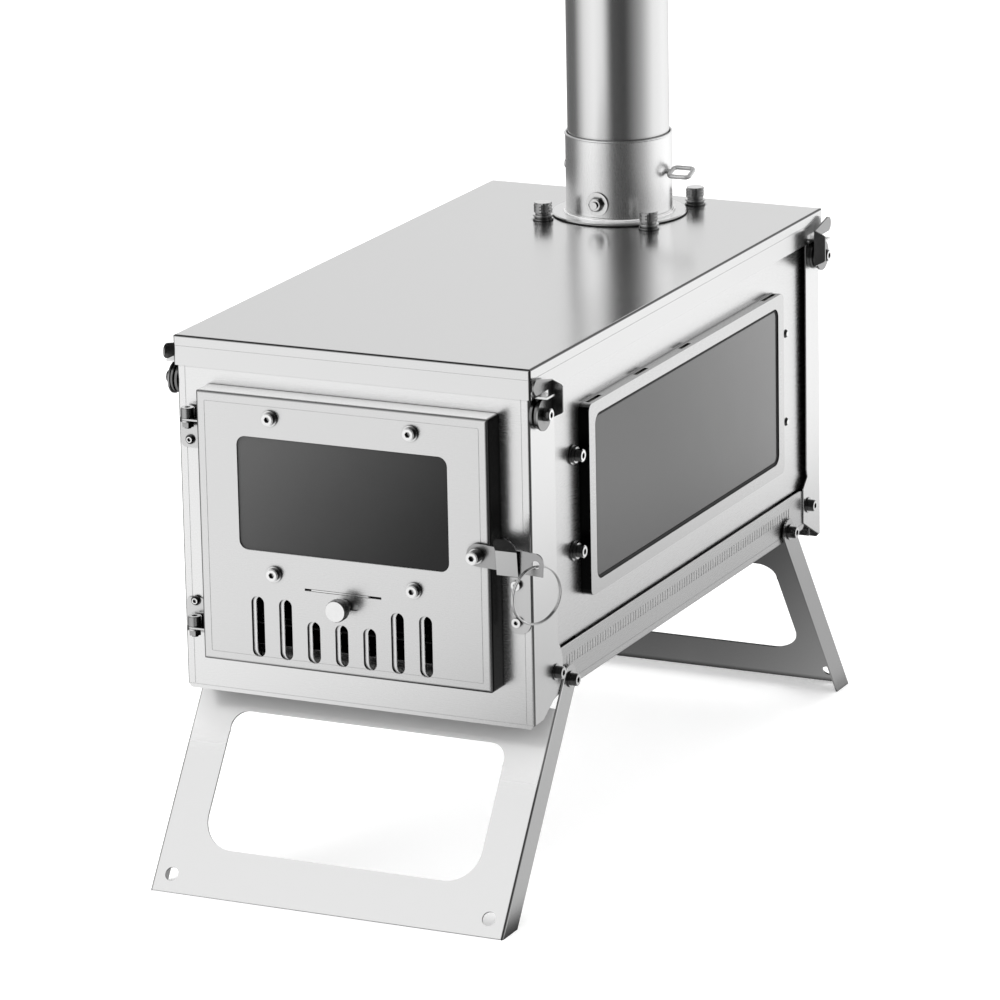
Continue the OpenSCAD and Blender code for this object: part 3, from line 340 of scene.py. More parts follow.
@dataclass(frozen=True)
class SheetMetal(Finish):
    """Rolled sheet metal with fine grain and clouding, painted shade on its folds, in its gaps and
    inside the firebox, and painted light and shade on faces square to given axes.
    """

    name: str
    level: float = 0.74
    roughness: float = 0.27
    grain: Grain = Grain.ALONG_X
    grain_depth: float = 0.05
    cloud: float = 0.05
    metallic: float = 1.0
    # Painted shade: the level at folds and, below, the reach and darkest level of the shade in
    # narrow gaps.
    fold_shade: float = 0.35
    lean: float = 0.0
    gap_reach: float = 0.004
    gap_level: float = 0.12
    # Painted light and shade on faces square to given axes.
    painted_facings: tuple[PaintedFacing, ...] = ()
    inner: Optional[Room] = None
    # Painted light on the sheet's upper part.
    dull: Optional[PaintedLightFade] = None
    # Painted shade: factor on the level of faces inside the firebox.
    painted_shade: float = 0.10
    line_scale: float = 160.0
    patch_scale: float = 9.0
    speck_scale: float = 900.0
    rough_lines: float = 0.10
    rough_patches: float = 0.05
    speck_share: float = 0.3
    line_swing: float = 1.4
    flat_span: Pair = (0.86, 0.985)
    facing_span: Pair = (0.7, 0.85)
    relief: float = 0.0002

    def lay(self, w: Wires) -> None:
        """Lays out the material.

        Args:
            w: its wires.
        """
        lines = w.noise(self.line_scale, detail=4.0, stretch=self.grain.value, rough=0.7)
        patches = w.noise(self.patch_scale)
        specks = w.noise(self.speck_scale, detail=2.0)
        facing = w.facing(self.lean)
        level, metal = self.zones(w, facing, self.clouded(w, lines, patches))
        # Painted shade: darker on the oblique faces of folds and in narrow gaps.
        flat = w.math("MAXIMUM", w.math("MAXIMUM", facing[0], facing[1]), facing[2])
        level = w.times(level, w.blend(self.fold_shade, 1.0, w.step(flat, *self.flat_span)))
        level = w.times(level, w.gap_shade(self.gap_reach, self.gap_level))
        # Painted shade inside the firebox.
        if self.inner:
            shade_paint = w.blend(1.0, self.painted_shade, w.within(self.inner))
            level = w.times(level, shade_paint)
        w.base(level)
        rough = w.math("ADD", w.swing(lines, self.rough_lines, self.roughness),
                       w.times(patches, self.rough_patches))
        w.paint(Roughness=rough, Metallic=metal)
        height = w.math("ADD", lines, w.times(specks, self.speck_share))
        w.bump(height, self.grain_depth, self.relief)

    def clouded(self, w: Wires, lines: object, patches: object) -> Socket:
        """Varies the sheet's own level with its lines and patches."""
        level = w.swing(lines, self.cloud * self.line_swing, 1.0)
        return w.times(w.times(level, w.swing(patches, self.cloud, 1.0)), self.level)

    def zones(self, w: Wires, facing: Sequence[Socket], level: Socket) -> tuple[Socket, object]:
        """Paints light and shade on faces square to given axes, and paints light on the sheet's
        upper part.

        Args:
            w: the material's wires.
            facing: the sizes of the surface's normal along the axes.
            level: the sheet's own level.

        Returns:
            The level and how metallic the surface is.
        """
        metal: object = self.metallic
        # Painted light and shade: faces square to each axis take their own level and metallic
        # value.
        for painted_facing in self.painted_facings:
            mask = w.step(facing["XYZ".index(painted_facing.axis)], *self.facing_span)
            level = w.blend(level, painted_facing.level, mask)
            metal = w.blend(metal, painted_facing.metallic, mask)
        # Painted light: the upper part turns nearly matt, so the plain world light shows on it.
        if self.dull:
            high = w.above(self.dull.start, self.dull.full)
            mask = w.times(high, w.math("SUBTRACT", 1.0, facing[0]))
            level = w.blend(level, self.dull.level, mask)
            metal = w.blend(metal, self.dull.metallic, mask)
        return level, metal


@dataclass(frozen=True)
class TurnedSteel(Finish):
    """Steel turned on a lathe, with painted highlights on the faces square to given axes, painted
    shade on its other faces and black painted shade in sockets.
    """

    name: str
    bright_axes: str = "Y"
    bright: float = 0.9
    dark: float = 0.12
    roughness: float = 0.2
    socket_reach: float = 0.0025
    socket_level: float = 0.01
    mark_scale: float = 260.0
    mark_swing: float = 0.16
    mark_depth: float = 0.04
    rough_marks: float = 0.12
    end_span: Pair = (0.72, 0.97)
    relief: float = 0.0002

    def lay(self, w: Wires) -> None:
        """Lays out the material.

        Args:
            w: its wires.
        """
        facing = w.facing()
        ends = facing["XYZ".index(self.bright_axes[0])]
        for axis in self.bright_axes[1:]:
            ends = w.math("MAXIMUM", ends, facing["XYZ".index(axis)])
        marks = w.noise(self.mark_scale)
        # Painted highlight on the chosen faces, painted shade on the rest and in sockets.
        level = w.blend(self.dark, self.bright, w.step(ends, *self.end_span))
        level = w.times(level, w.swing(marks, self.mark_swing, 1.0))
        level = w.times(level, w.gap_shade(self.socket_reach, self.socket_level))
        w.base(level)
        w.paint(Roughness=w.swing(marks, self.rough_marks, self.roughness), Metallic=1.0)
        w.bump(marks, self.mark_depth, self.relief)


@dataclass(frozen=True)
class ShadeBlack(Finish):
    """Near-black steel with patchy tone: painted shade for parts inside the firebox and for black
    rings put where gaps are in shade.
    """

    name: str
    level: float = 0.035
    patch_scale: float = 24.0
    bump_scale: float = 400.0
    bump_depth: float = 0.2
    patch_low: float = 0.4
    patch_high: float = 1.6
    smoothest: float = 0.5
    rough_patches: float = 0.25
    metallic: float = 0.3
    relief: float = 0.0003

    def lay(self, w: Wires) -> None:
        """Lays out the material.

        Args:
            w: its wires.
        """
        patches = w.noise(self.patch_scale, detail=5.0)
        # Painted shade: near black, varying in patches.
        shade_paint = w.tint(patches, (self.level * self.patch_low,) * 3, (self.level * self.patch_high,) * 3)
        rough = w.math("MULTIPLY_ADD", patches, self.rough_patches, self.smoothest)
        w.paint(Base_Color=shade_paint, Roughness=rough, Metallic=self.metallic)
        w.bump(w.noise(self.bump_scale), self.bump_depth, self.relief)


@dataclass(frozen=True)
class PaintedShadeGlass(Finish):
    """Dark glossy glass: painted shade for the dark firebox behind it, paling from one corner to
    the other as painted light.
    """

    name: str
    deep: float = 0.006
    pale: float = 0.11
    across: str = "X"
    start: Pair = (0.0, 0.0)
    stop: Pair = (1.0, 1.0)
    roughness: float = 0.06
    gloss: float = 0.3
    index: float = 1.52
    gradient_scale: float = 14.0
    gradient_wander: float = 0.12
    gradient_span: Pair = (-0.1, 1.1)
    rough_wander: float = 0.05
    wave_scale: float = 3.0
    wave_depth: float = 0.02
    relief: float = 0.0005

    def lay(self, w: Wires) -> None:
        """Lays out the material.

        Args:
            w: its wires.
        """
        x, y, z = w.axes()
        (a0, z0), (a1, z1) = self.start, self.stop
        wide, tall = a1 - a0, z1 - z0
        run = wide ** 2 + tall ** 2
        side = y if self.across == "Y" else x
        along = w.math("MULTIPLY_ADD", side, wide / run, -a0 * wide / run)
        up = w.math("MULTIPLY_ADD", z, tall / run, -z0 * tall / run)
        gradient_noise = w.noise(self.gradient_scale, detail=4.0)
        place = w.math("ADD", w.math("ADD", along, up), w.swing(gradient_noise, self.gradient_wander, 0.0))
        # Painted shade and light: dark at one corner, paler towards the other.
        painted_shade = w.tint(w.step(place, *self.gradient_span), (self.deep,) * 3, (self.pale,) * 3)
        rough = w.math("MULTIPLY_ADD", gradient_noise, self.rough_wander, self.roughness)
        w.paint(Base_Color=painted_shade, Roughness=rough, Metallic=0.0, IOR=self.index,
                Specular_IOR_Level=self.gloss)
        w.bump(w.noise(self.wave_scale, detail=1.0), self.wave_depth, self.relief)


@dataclass(frozen=True)
class WovenFibre(Finish):
    """Pale woven glass-fibre tape."""

    name: str
    colour: Triple = (0.72, 0.70, 0.64)
    weave_scale: float = 700.0
    weave_wander: float = 1.5
    weave_depth: float = 0.5
    roughness: float = 0.9
    shade: float = 0.7
    relief: float = 0.0003

    def lay(self, w: Wires) -> None:
        """Lays out the material.

        Args:
            w: its wires.
        """
        weave = w.add("ShaderNodeTexWave", {
            "Scale": self.weave_scale, "Distortion": self.weave_wander,
            "Vector": w.coords.outputs["Object"]})
        dark = tuple(c * self.shade for c in self.colour)
        tape = w.tint(weave.outputs["Fac"], dark, self.colour)
        w.paint(Base_Color=tape, Roughness=self.roughness)
        w.bump(weave.outputs["Fac"], self.weave_depth, self.relief)


@dataclass
class PhotoCamera:
    """Camera at the photograph's angle, as fitted to the stove's own edges."""

    place: Triple = (1.4307, -3.0031, 1.1097)
    right: Triple = (0.904105, 0.426880, -0.019168)
    up: Triple = (-0.099348, 0.253619, 0.962189)
    back: Triple = (0.415600, -0.868016, 0.271708)
    lens: float = 216.518
    sensor: float = 36.0
    nearest: float = 0.05
    farthest: float = 100.0

    def build(self) -> Piece:
        """Makes the camera and sets it as the scene's own.

        Returns:
            The camera.
        """
        bpy.ops.object.camera_add(location=self.place)
        camera = bpy.context.object
        camera.name = "photo_camera"
        turn = Matrix((self.right, self.up, self.back)).transposed()
        camera.rotation_euler = turn.to_euler()
        camera.data.sensor_width = self.sensor
        camera.data.lens = self.lens
        camera.data.dof.use_dof = False
        camera.data.clip_start = self.nearest
        camera.data.clip_end = self.farthest
        bpy.context.scene.camera = camera
        LOG.info("camera at %s", self.place)
        return camera


@dataclass(frozen=True)
class Surround:
    """Brightness that metal mirrors: bands by degrees from +X, near the stove by distance."""

    floor: Stops = (
        (-180, 0.14), (-150, 0.84), (-123, 1.02), (-99, 0.92), (-80, 0.08), (-45, 0.05),
        (-30, 0.17), (-5, 0.42), (24, 0.95), (62, 1.08), (90, 0.95), (115, 0.30), (150, 0.14))
    low: Stops = (
        (-180, 0.40), (-150, 0.88), (-123, 1.02), (-99, 0.70), (-80, 0.07), (-45, 0.03),
        (-30, 0.14), (-5, 0.42), (24, 0.95), (62, 1.06), (90, 0.92), (115, 0.83), (150, 0.60))
    mid: Stops = (
        (-180, 0.35), (-150, 0.85), (-123, 1.15), (-99, 0.80), (-70, 0.06), (-40, 0.05), (0, 0.20),
        (40, 0.50), (72, 0.18), (115, 0.45), (150, 0.30))
    near: Stops = ((0.0, 0.06), (0.20, 0.12), (0.37, 0.50), (0.55, 0.85), (0.80, 1.0))
    low_to_mid: Pair = (0.34, 0.50)
    mid_to_zenith: Pair = (0.76, 0.85)
    flank: float = 0.58
    flank_start: Pair = (0.10, 0.13)
    flank_end: Pair = (0.7, 1.1)
    zenith: float = 0.05
    peak: float = 1.25


class StudioWires(Wires):
    """Wires of the floor or the world, with the azimuth bands of the surround."""

    def __init__(self, owner: Material | bpy.types.World, out_kind: str) -> None:
        """Empties the nodes of a material or a world.

        Args:
            owner: what the nodes belong to.
            out_kind: type name of its output node.
        """
        owner.use_nodes = True
        self.tree = owner.node_tree
        self.tree.nodes.clear()
        self.out = self.add(out_kind)
        self.coords = self.add("ShaderNodeTexCoord")
        self.path = self.add("ShaderNodeLightPath")

    def turn(self, x: object, y: object) -> Socket:
        """Turns two coordinates into an azimuth from 0 to 1, with 0 at -180 degrees."""
        return self.math("MULTIPLY_ADD", self.math("ARCTAN2", y, x), 0.5 / math.pi, 0.5)

    def band(self, azimuth: object, stops: Stops, peak: float) -> Socket:
        """Maps an azimuth through one closed band.

        Args:
            azimuth: the azimuth from 0 to 1.
            stops: degrees and levels, beginning at -180.
            peak: level that the ramp stores as 1.

        Returns:
            The level's socket.
        """
        places = [((angle + 180.0) / 360.0, level / peak) for angle, level in stops]
        places.append((1.0, places[0][1]))
        return self.times(self.ramp(azimuth, places), peak)

    def sort_rays(self, plain: Node, glossy: Node, camera: Node) -> None:
        """Gives metal's reflections and the camera their own shader.

        Args:
            plain: shader that lights matt faces.
            glossy: shader that reflections show.
            camera: shader that the camera sees.
        """
        seen = plain
        for kind, shader in (("Is Glossy Ray", glossy), ("Is Camera Ray", camera)):
            seen = self.add("ShaderNodeMixShader", {
                0: self.path.outputs[kind], 1: seen.outputs[0], 2: shader.outputs[0]})
        self.link(seen.outputs[0], self.out.inputs["Surface"])


@dataclass(frozen=True)
class Lamp:
    """One soft area lamp, aimed at the stove."""

    name: str
    place: Triple
    size: float
    power: float


@dataclass
class Studio:
    """Pale floor, soft surround and area lamps."""

    floor_half: float = 6.0
    floor_colour: float = 0.86
    floor_glow: float = 0.34
    plain_level: float = 0.85
    aim_height: float = 0.2
    widening: float = 2.0
    surround: Surround = field(default_factory=Surround)
    lamps: tuple[Lamp, ...] = (
        Lamp("top_lamp", (-0.4, 0.2, 2.6), 2.2, 30.0),
        Lamp("left_lamp", (-2.2, -1.8, 1.8), 1.8, 24.0),
        Lamp("right_lamp", (2.4, -0.6, 1.6), 1.6, 15.0),
    )

    def build(self) -> None:
        """Makes the floor, the world and the lamps."""
        self.floor()
        self.world()
        for lamp in self.lamps:
            self.hang(lamp)
        bpy.context.scene.view_settings.view_transform = "Standard"

    def floor(self) -> None:
        """Makes the pale floor: white to the camera, banded in the metal's reflections."""
        floor = Forge.start(bpy.ops.mesh.primitive_plane_add, "studio_floor",
                            size=2 * self.floor_half)
        material = bpy.data.materials.new("pale_floor")
        w = StudioWires(material, "ShaderNodeOutputMaterial")
        matt = w.add("ShaderNodeBsdfDiffuse", {"Color": (self.floor_colour,) * 3 + (1.0,)})
        glow = w.add("ShaderNodeEmission", {"Strength": self.floor_glow})
        seen = w.add("ShaderNodeAddShader", {0: matt.outputs[0], 1: glow.outputs[0]})
        mirrored = w.add("ShaderNodeEmission", {"Strength": self.floor_level(w)})
        w.sort_rays(matt, mirrored, seen)
        floor.data.materials.append(material)

    def floor_level(self, w: StudioWires) -> Socket:
        """Lays out the floor's brightness in reflections.

        Args:
            w: the floor's wires.

        Returns:
            The brightness as a socket.
        """
        x, y, _ = w.axes()
        wide = w.times(x, self.widening)
        reach = w.math("SQRT", w.math("ADD", w.times(wide, wide), w.times(y, y)))
        level = w.band(w.turn(x, y), self.surround.floor, self.surround.peak)
        close = w.math("SUBTRACT", 1.0, w.step(reach, *self.surround.flank_end))
        beside = w.times(w.step(x, *self.surround.flank_start), close)
        level = w.blend(level, self.surround.flank, beside)
        shade = w.math("MAXIMUM", w.ramp(reach, self.surround.near), beside)
        return w.times(level, shade)

    def world(self) -> None:
        """Makes the world: white to the camera, plain to matt faces, banded to metal."""
        world = bpy.data.worlds.new("studio_world")
        bpy.context.scene.world = world
        w = StudioWires(world, "ShaderNodeOutputWorld")
        mirrored, plain, white = (
            w.add("ShaderNodeBackground", {"Color": (*WHITE, 1.0), "Strength": strength})
            for strength in (self.sky_level(w), self.plain_level, 1.0))
        w.sort_rays(plain, mirrored, white)

    def sky_level(self, w: StudioWires) -> Socket:
        """Lays out the world's brightness in reflections.

        Args:
            w: the world's wires.

        Returns:
            The brightness as a socket.
        """
        x, y, height = w.axes(w.coords.outputs["Generated"])
        azimuth = w.turn(x, y)
        low = w.band(azimuth, self.surround.low, self.surround.peak)
        mid = w.band(azimuth, self.surround.mid, self.surround.peak)
        level = w.blend(low, mid, w.step(height, *self.surround.low_to_mid))
        top = w.step(height, *self.surround.mid_to_zenith)
        return w.blend(level, self.surround.zenith, top)

    def hang(self, lamp: Lamp) -> None:
        """Hangs one large soft lamp that reflections don't show.

        Args:
            lamp: its place, size and power.
        """
        bpy.ops.object.light_add(type="AREA", location=lamp.place)
        light = bpy.context.object
        light.name = lamp.name
        light.data.size = lamp.size
        light.data.energy = lamp.power
        light.visible_glossy = False
        aim = Vector((0, 0, self.aim_height)) - Vector(lamp.place)
        light.rotation_euler = aim.to_track_quat("-Z", "Y").to_euler()


class Forge:
    """Shapes new pieces from primitives with Blender's edit-mode tools."""

    @staticmethod
    def alone(obj: Piece) -> None:
        """Selects one piece and nothing else, and makes it active."""
        bpy.ops.object.select_all(action="DESELECT")
        obj.select_set(True)
        bpy.context.view_layer.objects.active = obj

    @staticmethod
    def settle(obj: Piece, name: str) -> Piece:
        """Names a piece and applies its place, turn and size.

        Args:
            obj: the piece.
            name: its name.

        Returns:
            The piece.
        """
        obj.name = name
        obj.data.name = name
        Forge.alone(obj)
        bpy.ops.object.transform_apply(location=True, rotation=True, scale=True)
        return obj

    @staticmethod
    def start(add: Callable, name: str, scale: Sequence[float] = (1, 1, 1),
              **sizes: object) -> Piece:
        """Adds a primitive with everything else deselected.

        Args:
            add: Blender's operator for that primitive.
            name: the piece's name.
            scale: factors on its size along the axes.
            sizes: the operator's own values.

        Returns:
            The piece.
        """
        bpy.ops.object.select_all(action="DESELECT")
        add(**sizes)
        obj = bpy.context.object
        obj.scale = scale
        return Forge.settle(obj, name)

    @staticmethod
    def pick(obj: Piece, wanted: Callable[[Vector], bool]) -> None:
        """Opens a piece in edit mode with some of its points selected.

        Args:
            obj: the piece.
            wanted: tells from a point's place whether it is selected.
        """
        mesh = obj.data
        for group in (mesh.polygons, mesh.edges):
            for item in group:
                item.select = False
        for point in mesh.vertices:
            point.select = wanted(point.co)
        bpy.context.view_layer.objects.active = obj
        bpy.ops.object.mode_set(mode="EDIT")
        bpy.ops.mesh.select_mode(type="VERT")

    @staticmethod
    def disc(radius: float, low: float, high: float, sides: int = 64,
             edge: float = 0.0) -> Piece:
        """Makes a short upright cylinder whose rims are bevelled.

        Args:
            radius: its radius.
            low: height of its underside.
            high: height of its top.
            sides: how many sides it has.
            edge: width of the bevel.

        Returns:
            The cylinder.
        """
        obj = Forge.start(bpy.ops.mesh.primitive_cylinder_add, "disc", vertices=sides,
                          radius=radius, depth=high - low, location=(0, 0, (low + high) / 2))
        if edge:
            rims = obj.modifiers.new("rims", "BEVEL")
            rims.width = edge
            rims.segments = RIM_STEPS
            rims.limit_method = "ANGLE"
            rims.angle_limit = RIM_ANGLE
            bpy.ops.object.modifier_apply(modifier=rims.name)
        return obj

    @staticmethod
    def join(parts: Sequence[Piece], name: str, degrees: float) -> Piece:
        """Joins pieces into one and shades it smoothly.

        Args:
            parts: the pieces.
            name: the name of the whole.
            degrees: the sharpest angle that stays smooth.

        Returns:
            The joined piece.
        """
        bpy.ops.object.select_all(action="DESELECT")
        for part in parts:
            part.select_set(True)
        bpy.context.view_layer.objects.active = parts[0]
        bpy.ops.object.join()
        return Forge.smooth(Forge.settle(bpy.context.object, name), degrees)

    @staticmethod
    def smooth(obj: Piece, degrees: float) -> Piece:
        """Shades a piece smoothly.

        Args:
            obj: the piece.
            degrees: the sharpest angle that stays smooth.

        Returns:
            The piece.
        """
        Forge.alone(obj)
        bpy.ops.object.shade_smooth_by_angle(angle=math.radians(degrees))
        return obj

    @staticmethod
    def repeat(obj: Piece, name: str, shift: Sequence[float]) -> Piece:
        """Copies a piece, its mesh too, to another place.

        Args:
            obj: the piece to copy.
            name: the copy's name.
            shift: how far the copy stands from it.

        Returns:
            The copy.
        """
        twin = obj.copy()
        twin.data = obj.data.copy()
        bpy.context.collection.objects.link(twin)
        twin.location = Vector(shift)
        return Forge.settle(twin, name)


def pick_all() -> None:
    """Selects all of the mesh that is open in edit mode."""
    bpy.ops.mesh.select_all(action="SELECT")


def set_on_studs(pattern: Piece, prefix: str, node: str) -> list[Piece]:
    """Copies a piece to the four studs beside the flue collar.

    Args:
        pattern: the piece, standing on the origin.
        prefix: how the copies' names begin.
        node: the CAD node that they replace.

    Returns:
        The four copies.
    """
    copies = []
    for row, ahead in (("front", -1), ("rear", 1)):
        for side, across in (("left", -1), ("right", 1)):
            place = (across * STUD_SPACING, COLLAR_Y + ahead * STUD_SPACING, 0)
            copy = Forge.repeat(pattern, f"{prefix}_{row}_{side}", place)
            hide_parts(node)
            copies.append(copy)
    bpy.data.objects.remove(pattern)
    return copies


@dataclass
class KnurledGrip:
    """Turned grip with a diamond knurl round its side, standing upright on Z 0."""

    radius: float
    height: float
    columns: int = 30
    rows: int = 6
    depth: float = 0.00050
    edge: float = 0.00055

    def build(self) -> Piece:
        """Makes the grip.

        Returns:
            The grip.
        """
        obj = Forge.disc(self.radius, 0.0, self.height, self.columns)
        pitch = self.height / (self.rows + 1)
        bpy.ops.object.mode_set(mode="EDIT")
        for row in range(1, self.rows + 1):
            pick_all()
            bpy.ops.mesh.bisect(plane_co=(0, 0, row * pitch), plane_no=(0, 0, 1))
        bpy.ops.object.mode_set(mode="OBJECT")
        self.press(obj, pitch)
        for end in (0.0, self.height):
            self.draw_in(obj, lambda co: abs(co.z - end) < SAME_HEIGHT, self.edge)
        return obj

    def press(self, obj: Piece, pitch: float) -> None:
        """Presses every other point of the side inwards, in a checkerboard.

        Args:
            obj: the grip.
            pitch: the height between its rows.
        """
        step = 2 * math.pi / self.columns

        def sunk(co: Vector) -> bool:
            column = round(math.atan2(co.y, co.x) / step)
            row = round(co.z / pitch)
            return 0 < row <= self.rows and (column + row) % 2 == 0

        self.draw_in(obj, sunk, self.depth)

    def draw_in(self, obj: Piece, wanted: Callable[[Vector], bool], depth: float) -> None:
        """Draws some points of the side in towards the axis.

        Args:
            obj: the grip.
            wanted: tells from a point's place whether it moves.
            depth: how far it moves.
        """
        Forge.pick(obj, wanted)
        shrink = 1 - depth / self.radius
        bpy.ops.transform.resize(value=(shrink, shrink, 1), center_override=(0, 0, 0))
        bpy.ops.object.mode_set(mode="OBJECT")


@dataclass
class ThumbNuts:
    """Four knurled nuts on the studs beside the flue collar."""

    trim: float = 0.0007
    flange: float = 0.0005
    foot: float = 0.0010
    neck: float = 0.0010
    waist: float = 0.0010
    foot_edge: float = 0.0003
    smooth_angle: float = 14

    def build(self) -> list[Piece]:
        """Makes the nuts over their CAD node.

        Returns:
            The four nuts.
        """
        low, high = (Vector(v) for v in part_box("thumb_nuts"))
        reach = high.x - STUD_SPACING - self.trim
        radius = reach - self.flange
        waist_z = low.z + self.foot
        barrel_z = waist_z + self.neck
        barrel = KnurledGrip(radius, high.z - barrel_z).build()
        barrel.data.transform(Matrix.Translation((0, 0, barrel_z)))
        foot = Forge.disc(reach, low.z, waist_z, edge=self.foot_edge)
        waist = Forge.disc(radius - self.waist, waist_z, barrel_z)
        nut = Forge.join([barrel, foot, waist], "thumb_nut_pattern", self.smooth_angle)
        return set_on_studs(nut, "thumb_nut", "thumb_nuts")


@dataclass
class AirKnob:
    """Knurled knob of the air slider with its neck and stem."""

    barrel: float = 0.0064
    neck: float = 0.0039
    stem: float = 0.0020
    door_gap: float = 0.0004
    reach: float = 0.0123
    columns: int = 36
    stem_sides: int = 32
    neck_edge: float = 0.0003
    stem_edge: float = 0.0002
    smooth_angle: float = 14

    def build(self) -> Piece:
        """Makes the knob over its CAD node.

        Returns:
            The knob.
        """
        low, high = (Vector(v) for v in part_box("air_knob"))
        centre = (low + high) / 2
        long = high.y - low.y
        shoulder = long - self.barrel
        grip = KnurledGrip((high.x - low.x) / 2, self.barrel, self.columns).build()
        grip.data.transform(Matrix.Translation((0, 0, shoulder)))
        neck = Forge.disc(self.neck, long - self.reach + self.door_gap, shoulder,
                          edge=self.neck_edge)
        stem = Forge.disc(self.stem, 0.0, shoulder, self.stem_sides, self.stem_edge)
        knob = Forge.join([grip, neck, stem], "air_knob_turned", self.smooth_angle)
        knob.rotation_euler = (math.radians(90), 0, 0)
        knob.location = (centre.x, high.y, centre.z)
        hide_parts("air_knob")
        return Forge.settle(knob, knob.name)


@dataclass
class StudWashers:
    """Pairs of washers under the thumb nuts."""

    wide: float = 0.0061
    narrow: float = 0.0052
    thickness: float = 0.0012
    edge: float = 0.0003
    smooth_angle: float = 28

    def build(self) -> list[Piece]:
        """Makes the washers over their CAD node.

        Returns:
            The four pairs.
        """
        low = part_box("thumb_washers")[0][2]
        middle = low + self.thickness
        lower = Forge.disc(self.wide, low, middle, edge=self.edge)
        upper = Forge.disc(self.narrow, middle, middle + self.thickness, edge=self.edge)
        pair = Forge.join([lower, upper], "stud_washer_pattern", self.smooth_angle)
        return set_on_studs(pair, "stud_washers", "thumb_washers")


@dataclass
class FootRing:
    """Thin round ring at the foot of the flue collar: the black one is painted shade in the gap
    there, the bright one a bead.
    """

    name: str
    radius: float
    cord: float
    height: float
    sides: int = 144
    cord_sides: int = 10
    smooth_angle: float = 60

    def build(self) -> Piece:
        """Makes the ring.

        Returns:
            The ring.
        """
        place = (0, COLLAR_Y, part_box("lid")[1][2] + self.height)
        ring = Forge.start(
            bpy.ops.mesh.primitive_torus_add, self.name, major_radius=self.radius,
            minor_radius=self.cord, major_segments=self.sides, minor_segments=self.cord_sides,
            location=place)
        return Forge.smooth(ring, self.smooth_angle)


@dataclass
class VentLightStrips:
    """Pale strips a little way behind the rows of vent slits: painted light in the slits, where
    the inside would be in shade.
    """

    face: float = 0.1052
    thickness: float = 0.0005
    front: float = -0.1685
    rear: float = 0.1725
    low: float = 0.1268
    high: float = 0.1352
    edge: float = 0.0001

    def build(self) -> list[Piece]:
        """Makes one strip for each side of the tray.

        Returns:
            The two strips.
        """
        strips = []
        mid_y, mid_z = (self.front + self.rear) / 2, (self.low + self.high) / 2
        scale = (self.thickness, self.rear - self.front, self.high - self.low)
        for side, sign in (("left", -1), ("right", 1)):
            place = (sign * (self.face - self.thickness / 2), mid_y, mid_z)
            strip = Forge.start(bpy.ops.mesh.primitive_cube_add, f"vent_light_strip_{side}", scale,
                                size=1, location=place)
            bpy.ops.object.mode_set(mode="EDIT")
            pick_all()
            bpy.ops.mesh.bevel(offset=self.edge, segments=1)
            bpy.ops.object.mode_set(mode="OBJECT")
            strips.append(strip)
        return strips


@dataclass
class WeldSeam:
    """Rippled weld bead down the back of the flue pipe."""

    bead: float = 0.0008
    low: float = 0.358
    high: float = 0.588
    turn: float = 118.0
    ripple: float = 0.0021
    ripple_depth: float = 0.0002
    end_edge: float = 0.0003
    sides: int = 10
    smooth_angle: float = 60

    def build(self) -> Piece:
        """Makes the bead.

        Returns:
            The bead.
        """
        length = self.high - self.low
        seam = KnurledGrip(self.bead, length, self.sides, round(length / self.ripple),
                           self.ripple_depth, self.end_edge).build()
        angle = math.radians(self.turn)
        seam.location = (PIPE_RADIUS * math.cos(angle),
                         COLLAR_Y + PIPE_RADIUS * math.sin(angle), self.low)
        return Forge.smooth(Forge.settle(seam, "pipe_weld_seam"), self.smooth_angle)


@dataclass
class WindowShadeRings:
    """Black rings round the side windows inside their frames: painted shade in the windows'
    reveals.
    """

    length: float = 0.2587
    height: float = 0.0947
    mid_y: float = 0.00815
    mid_z: float = 0.21485
    corner: float = 0.0055
    corner_steps: int = 8
    width: float = 0.0019
    proud: float = 0.0004

    def build(self) -> list[Piece]:
        """Makes one black ring of painted shade for each side window.

        Returns:
            The two rings.
        """
        shade_rings = []
        for side, sign in (("left", -1), ("right", 1)):
            shade_ring = self.ring(f"window_shade_ring_{side}")
            low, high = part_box(f"side_glass_{side}")
            shade_ring.rotation_euler = (math.radians(90), 0, math.radians(90 * sign))
            shade_ring.location = (high[0] if sign > 0 else low[0], self.mid_y, self.mid_z)
            shade_rings.append(Forge.settle(shade_ring, shade_ring.name))
        return shade_rings

    def ring(self, name: str) -> Piece:
        """Shapes one black ring lying flat, with rounded corners.

        Args:
            name: the ring's name.

        Returns:
            The ring.
        """
        shade_ring = Forge.start(bpy.ops.mesh.primitive_plane_add, name,
                           (self.length, self.height, 1), size=1)
        bpy.ops.object.mode_set(mode="EDIT")
        pick_all()
        bpy.ops.mesh.bevel(offset=self.corner, segments=self.corner_steps, affect="VERTICES")
        pick_all()
        bpy.ops.mesh.inset(thickness=self.width)
        bpy.ops.mesh.delete(type="FACE")
        pick_all()
        bpy.ops.mesh.extrude_region_move(TRANSFORM_OT_translate={"value": (0, 0, self.proud)})
        pick_all()
        bpy.ops.mesh.normals_make_consistent(inside=False)
        bpy.ops.object.mode_set(mode="OBJECT")
        return shade_ring


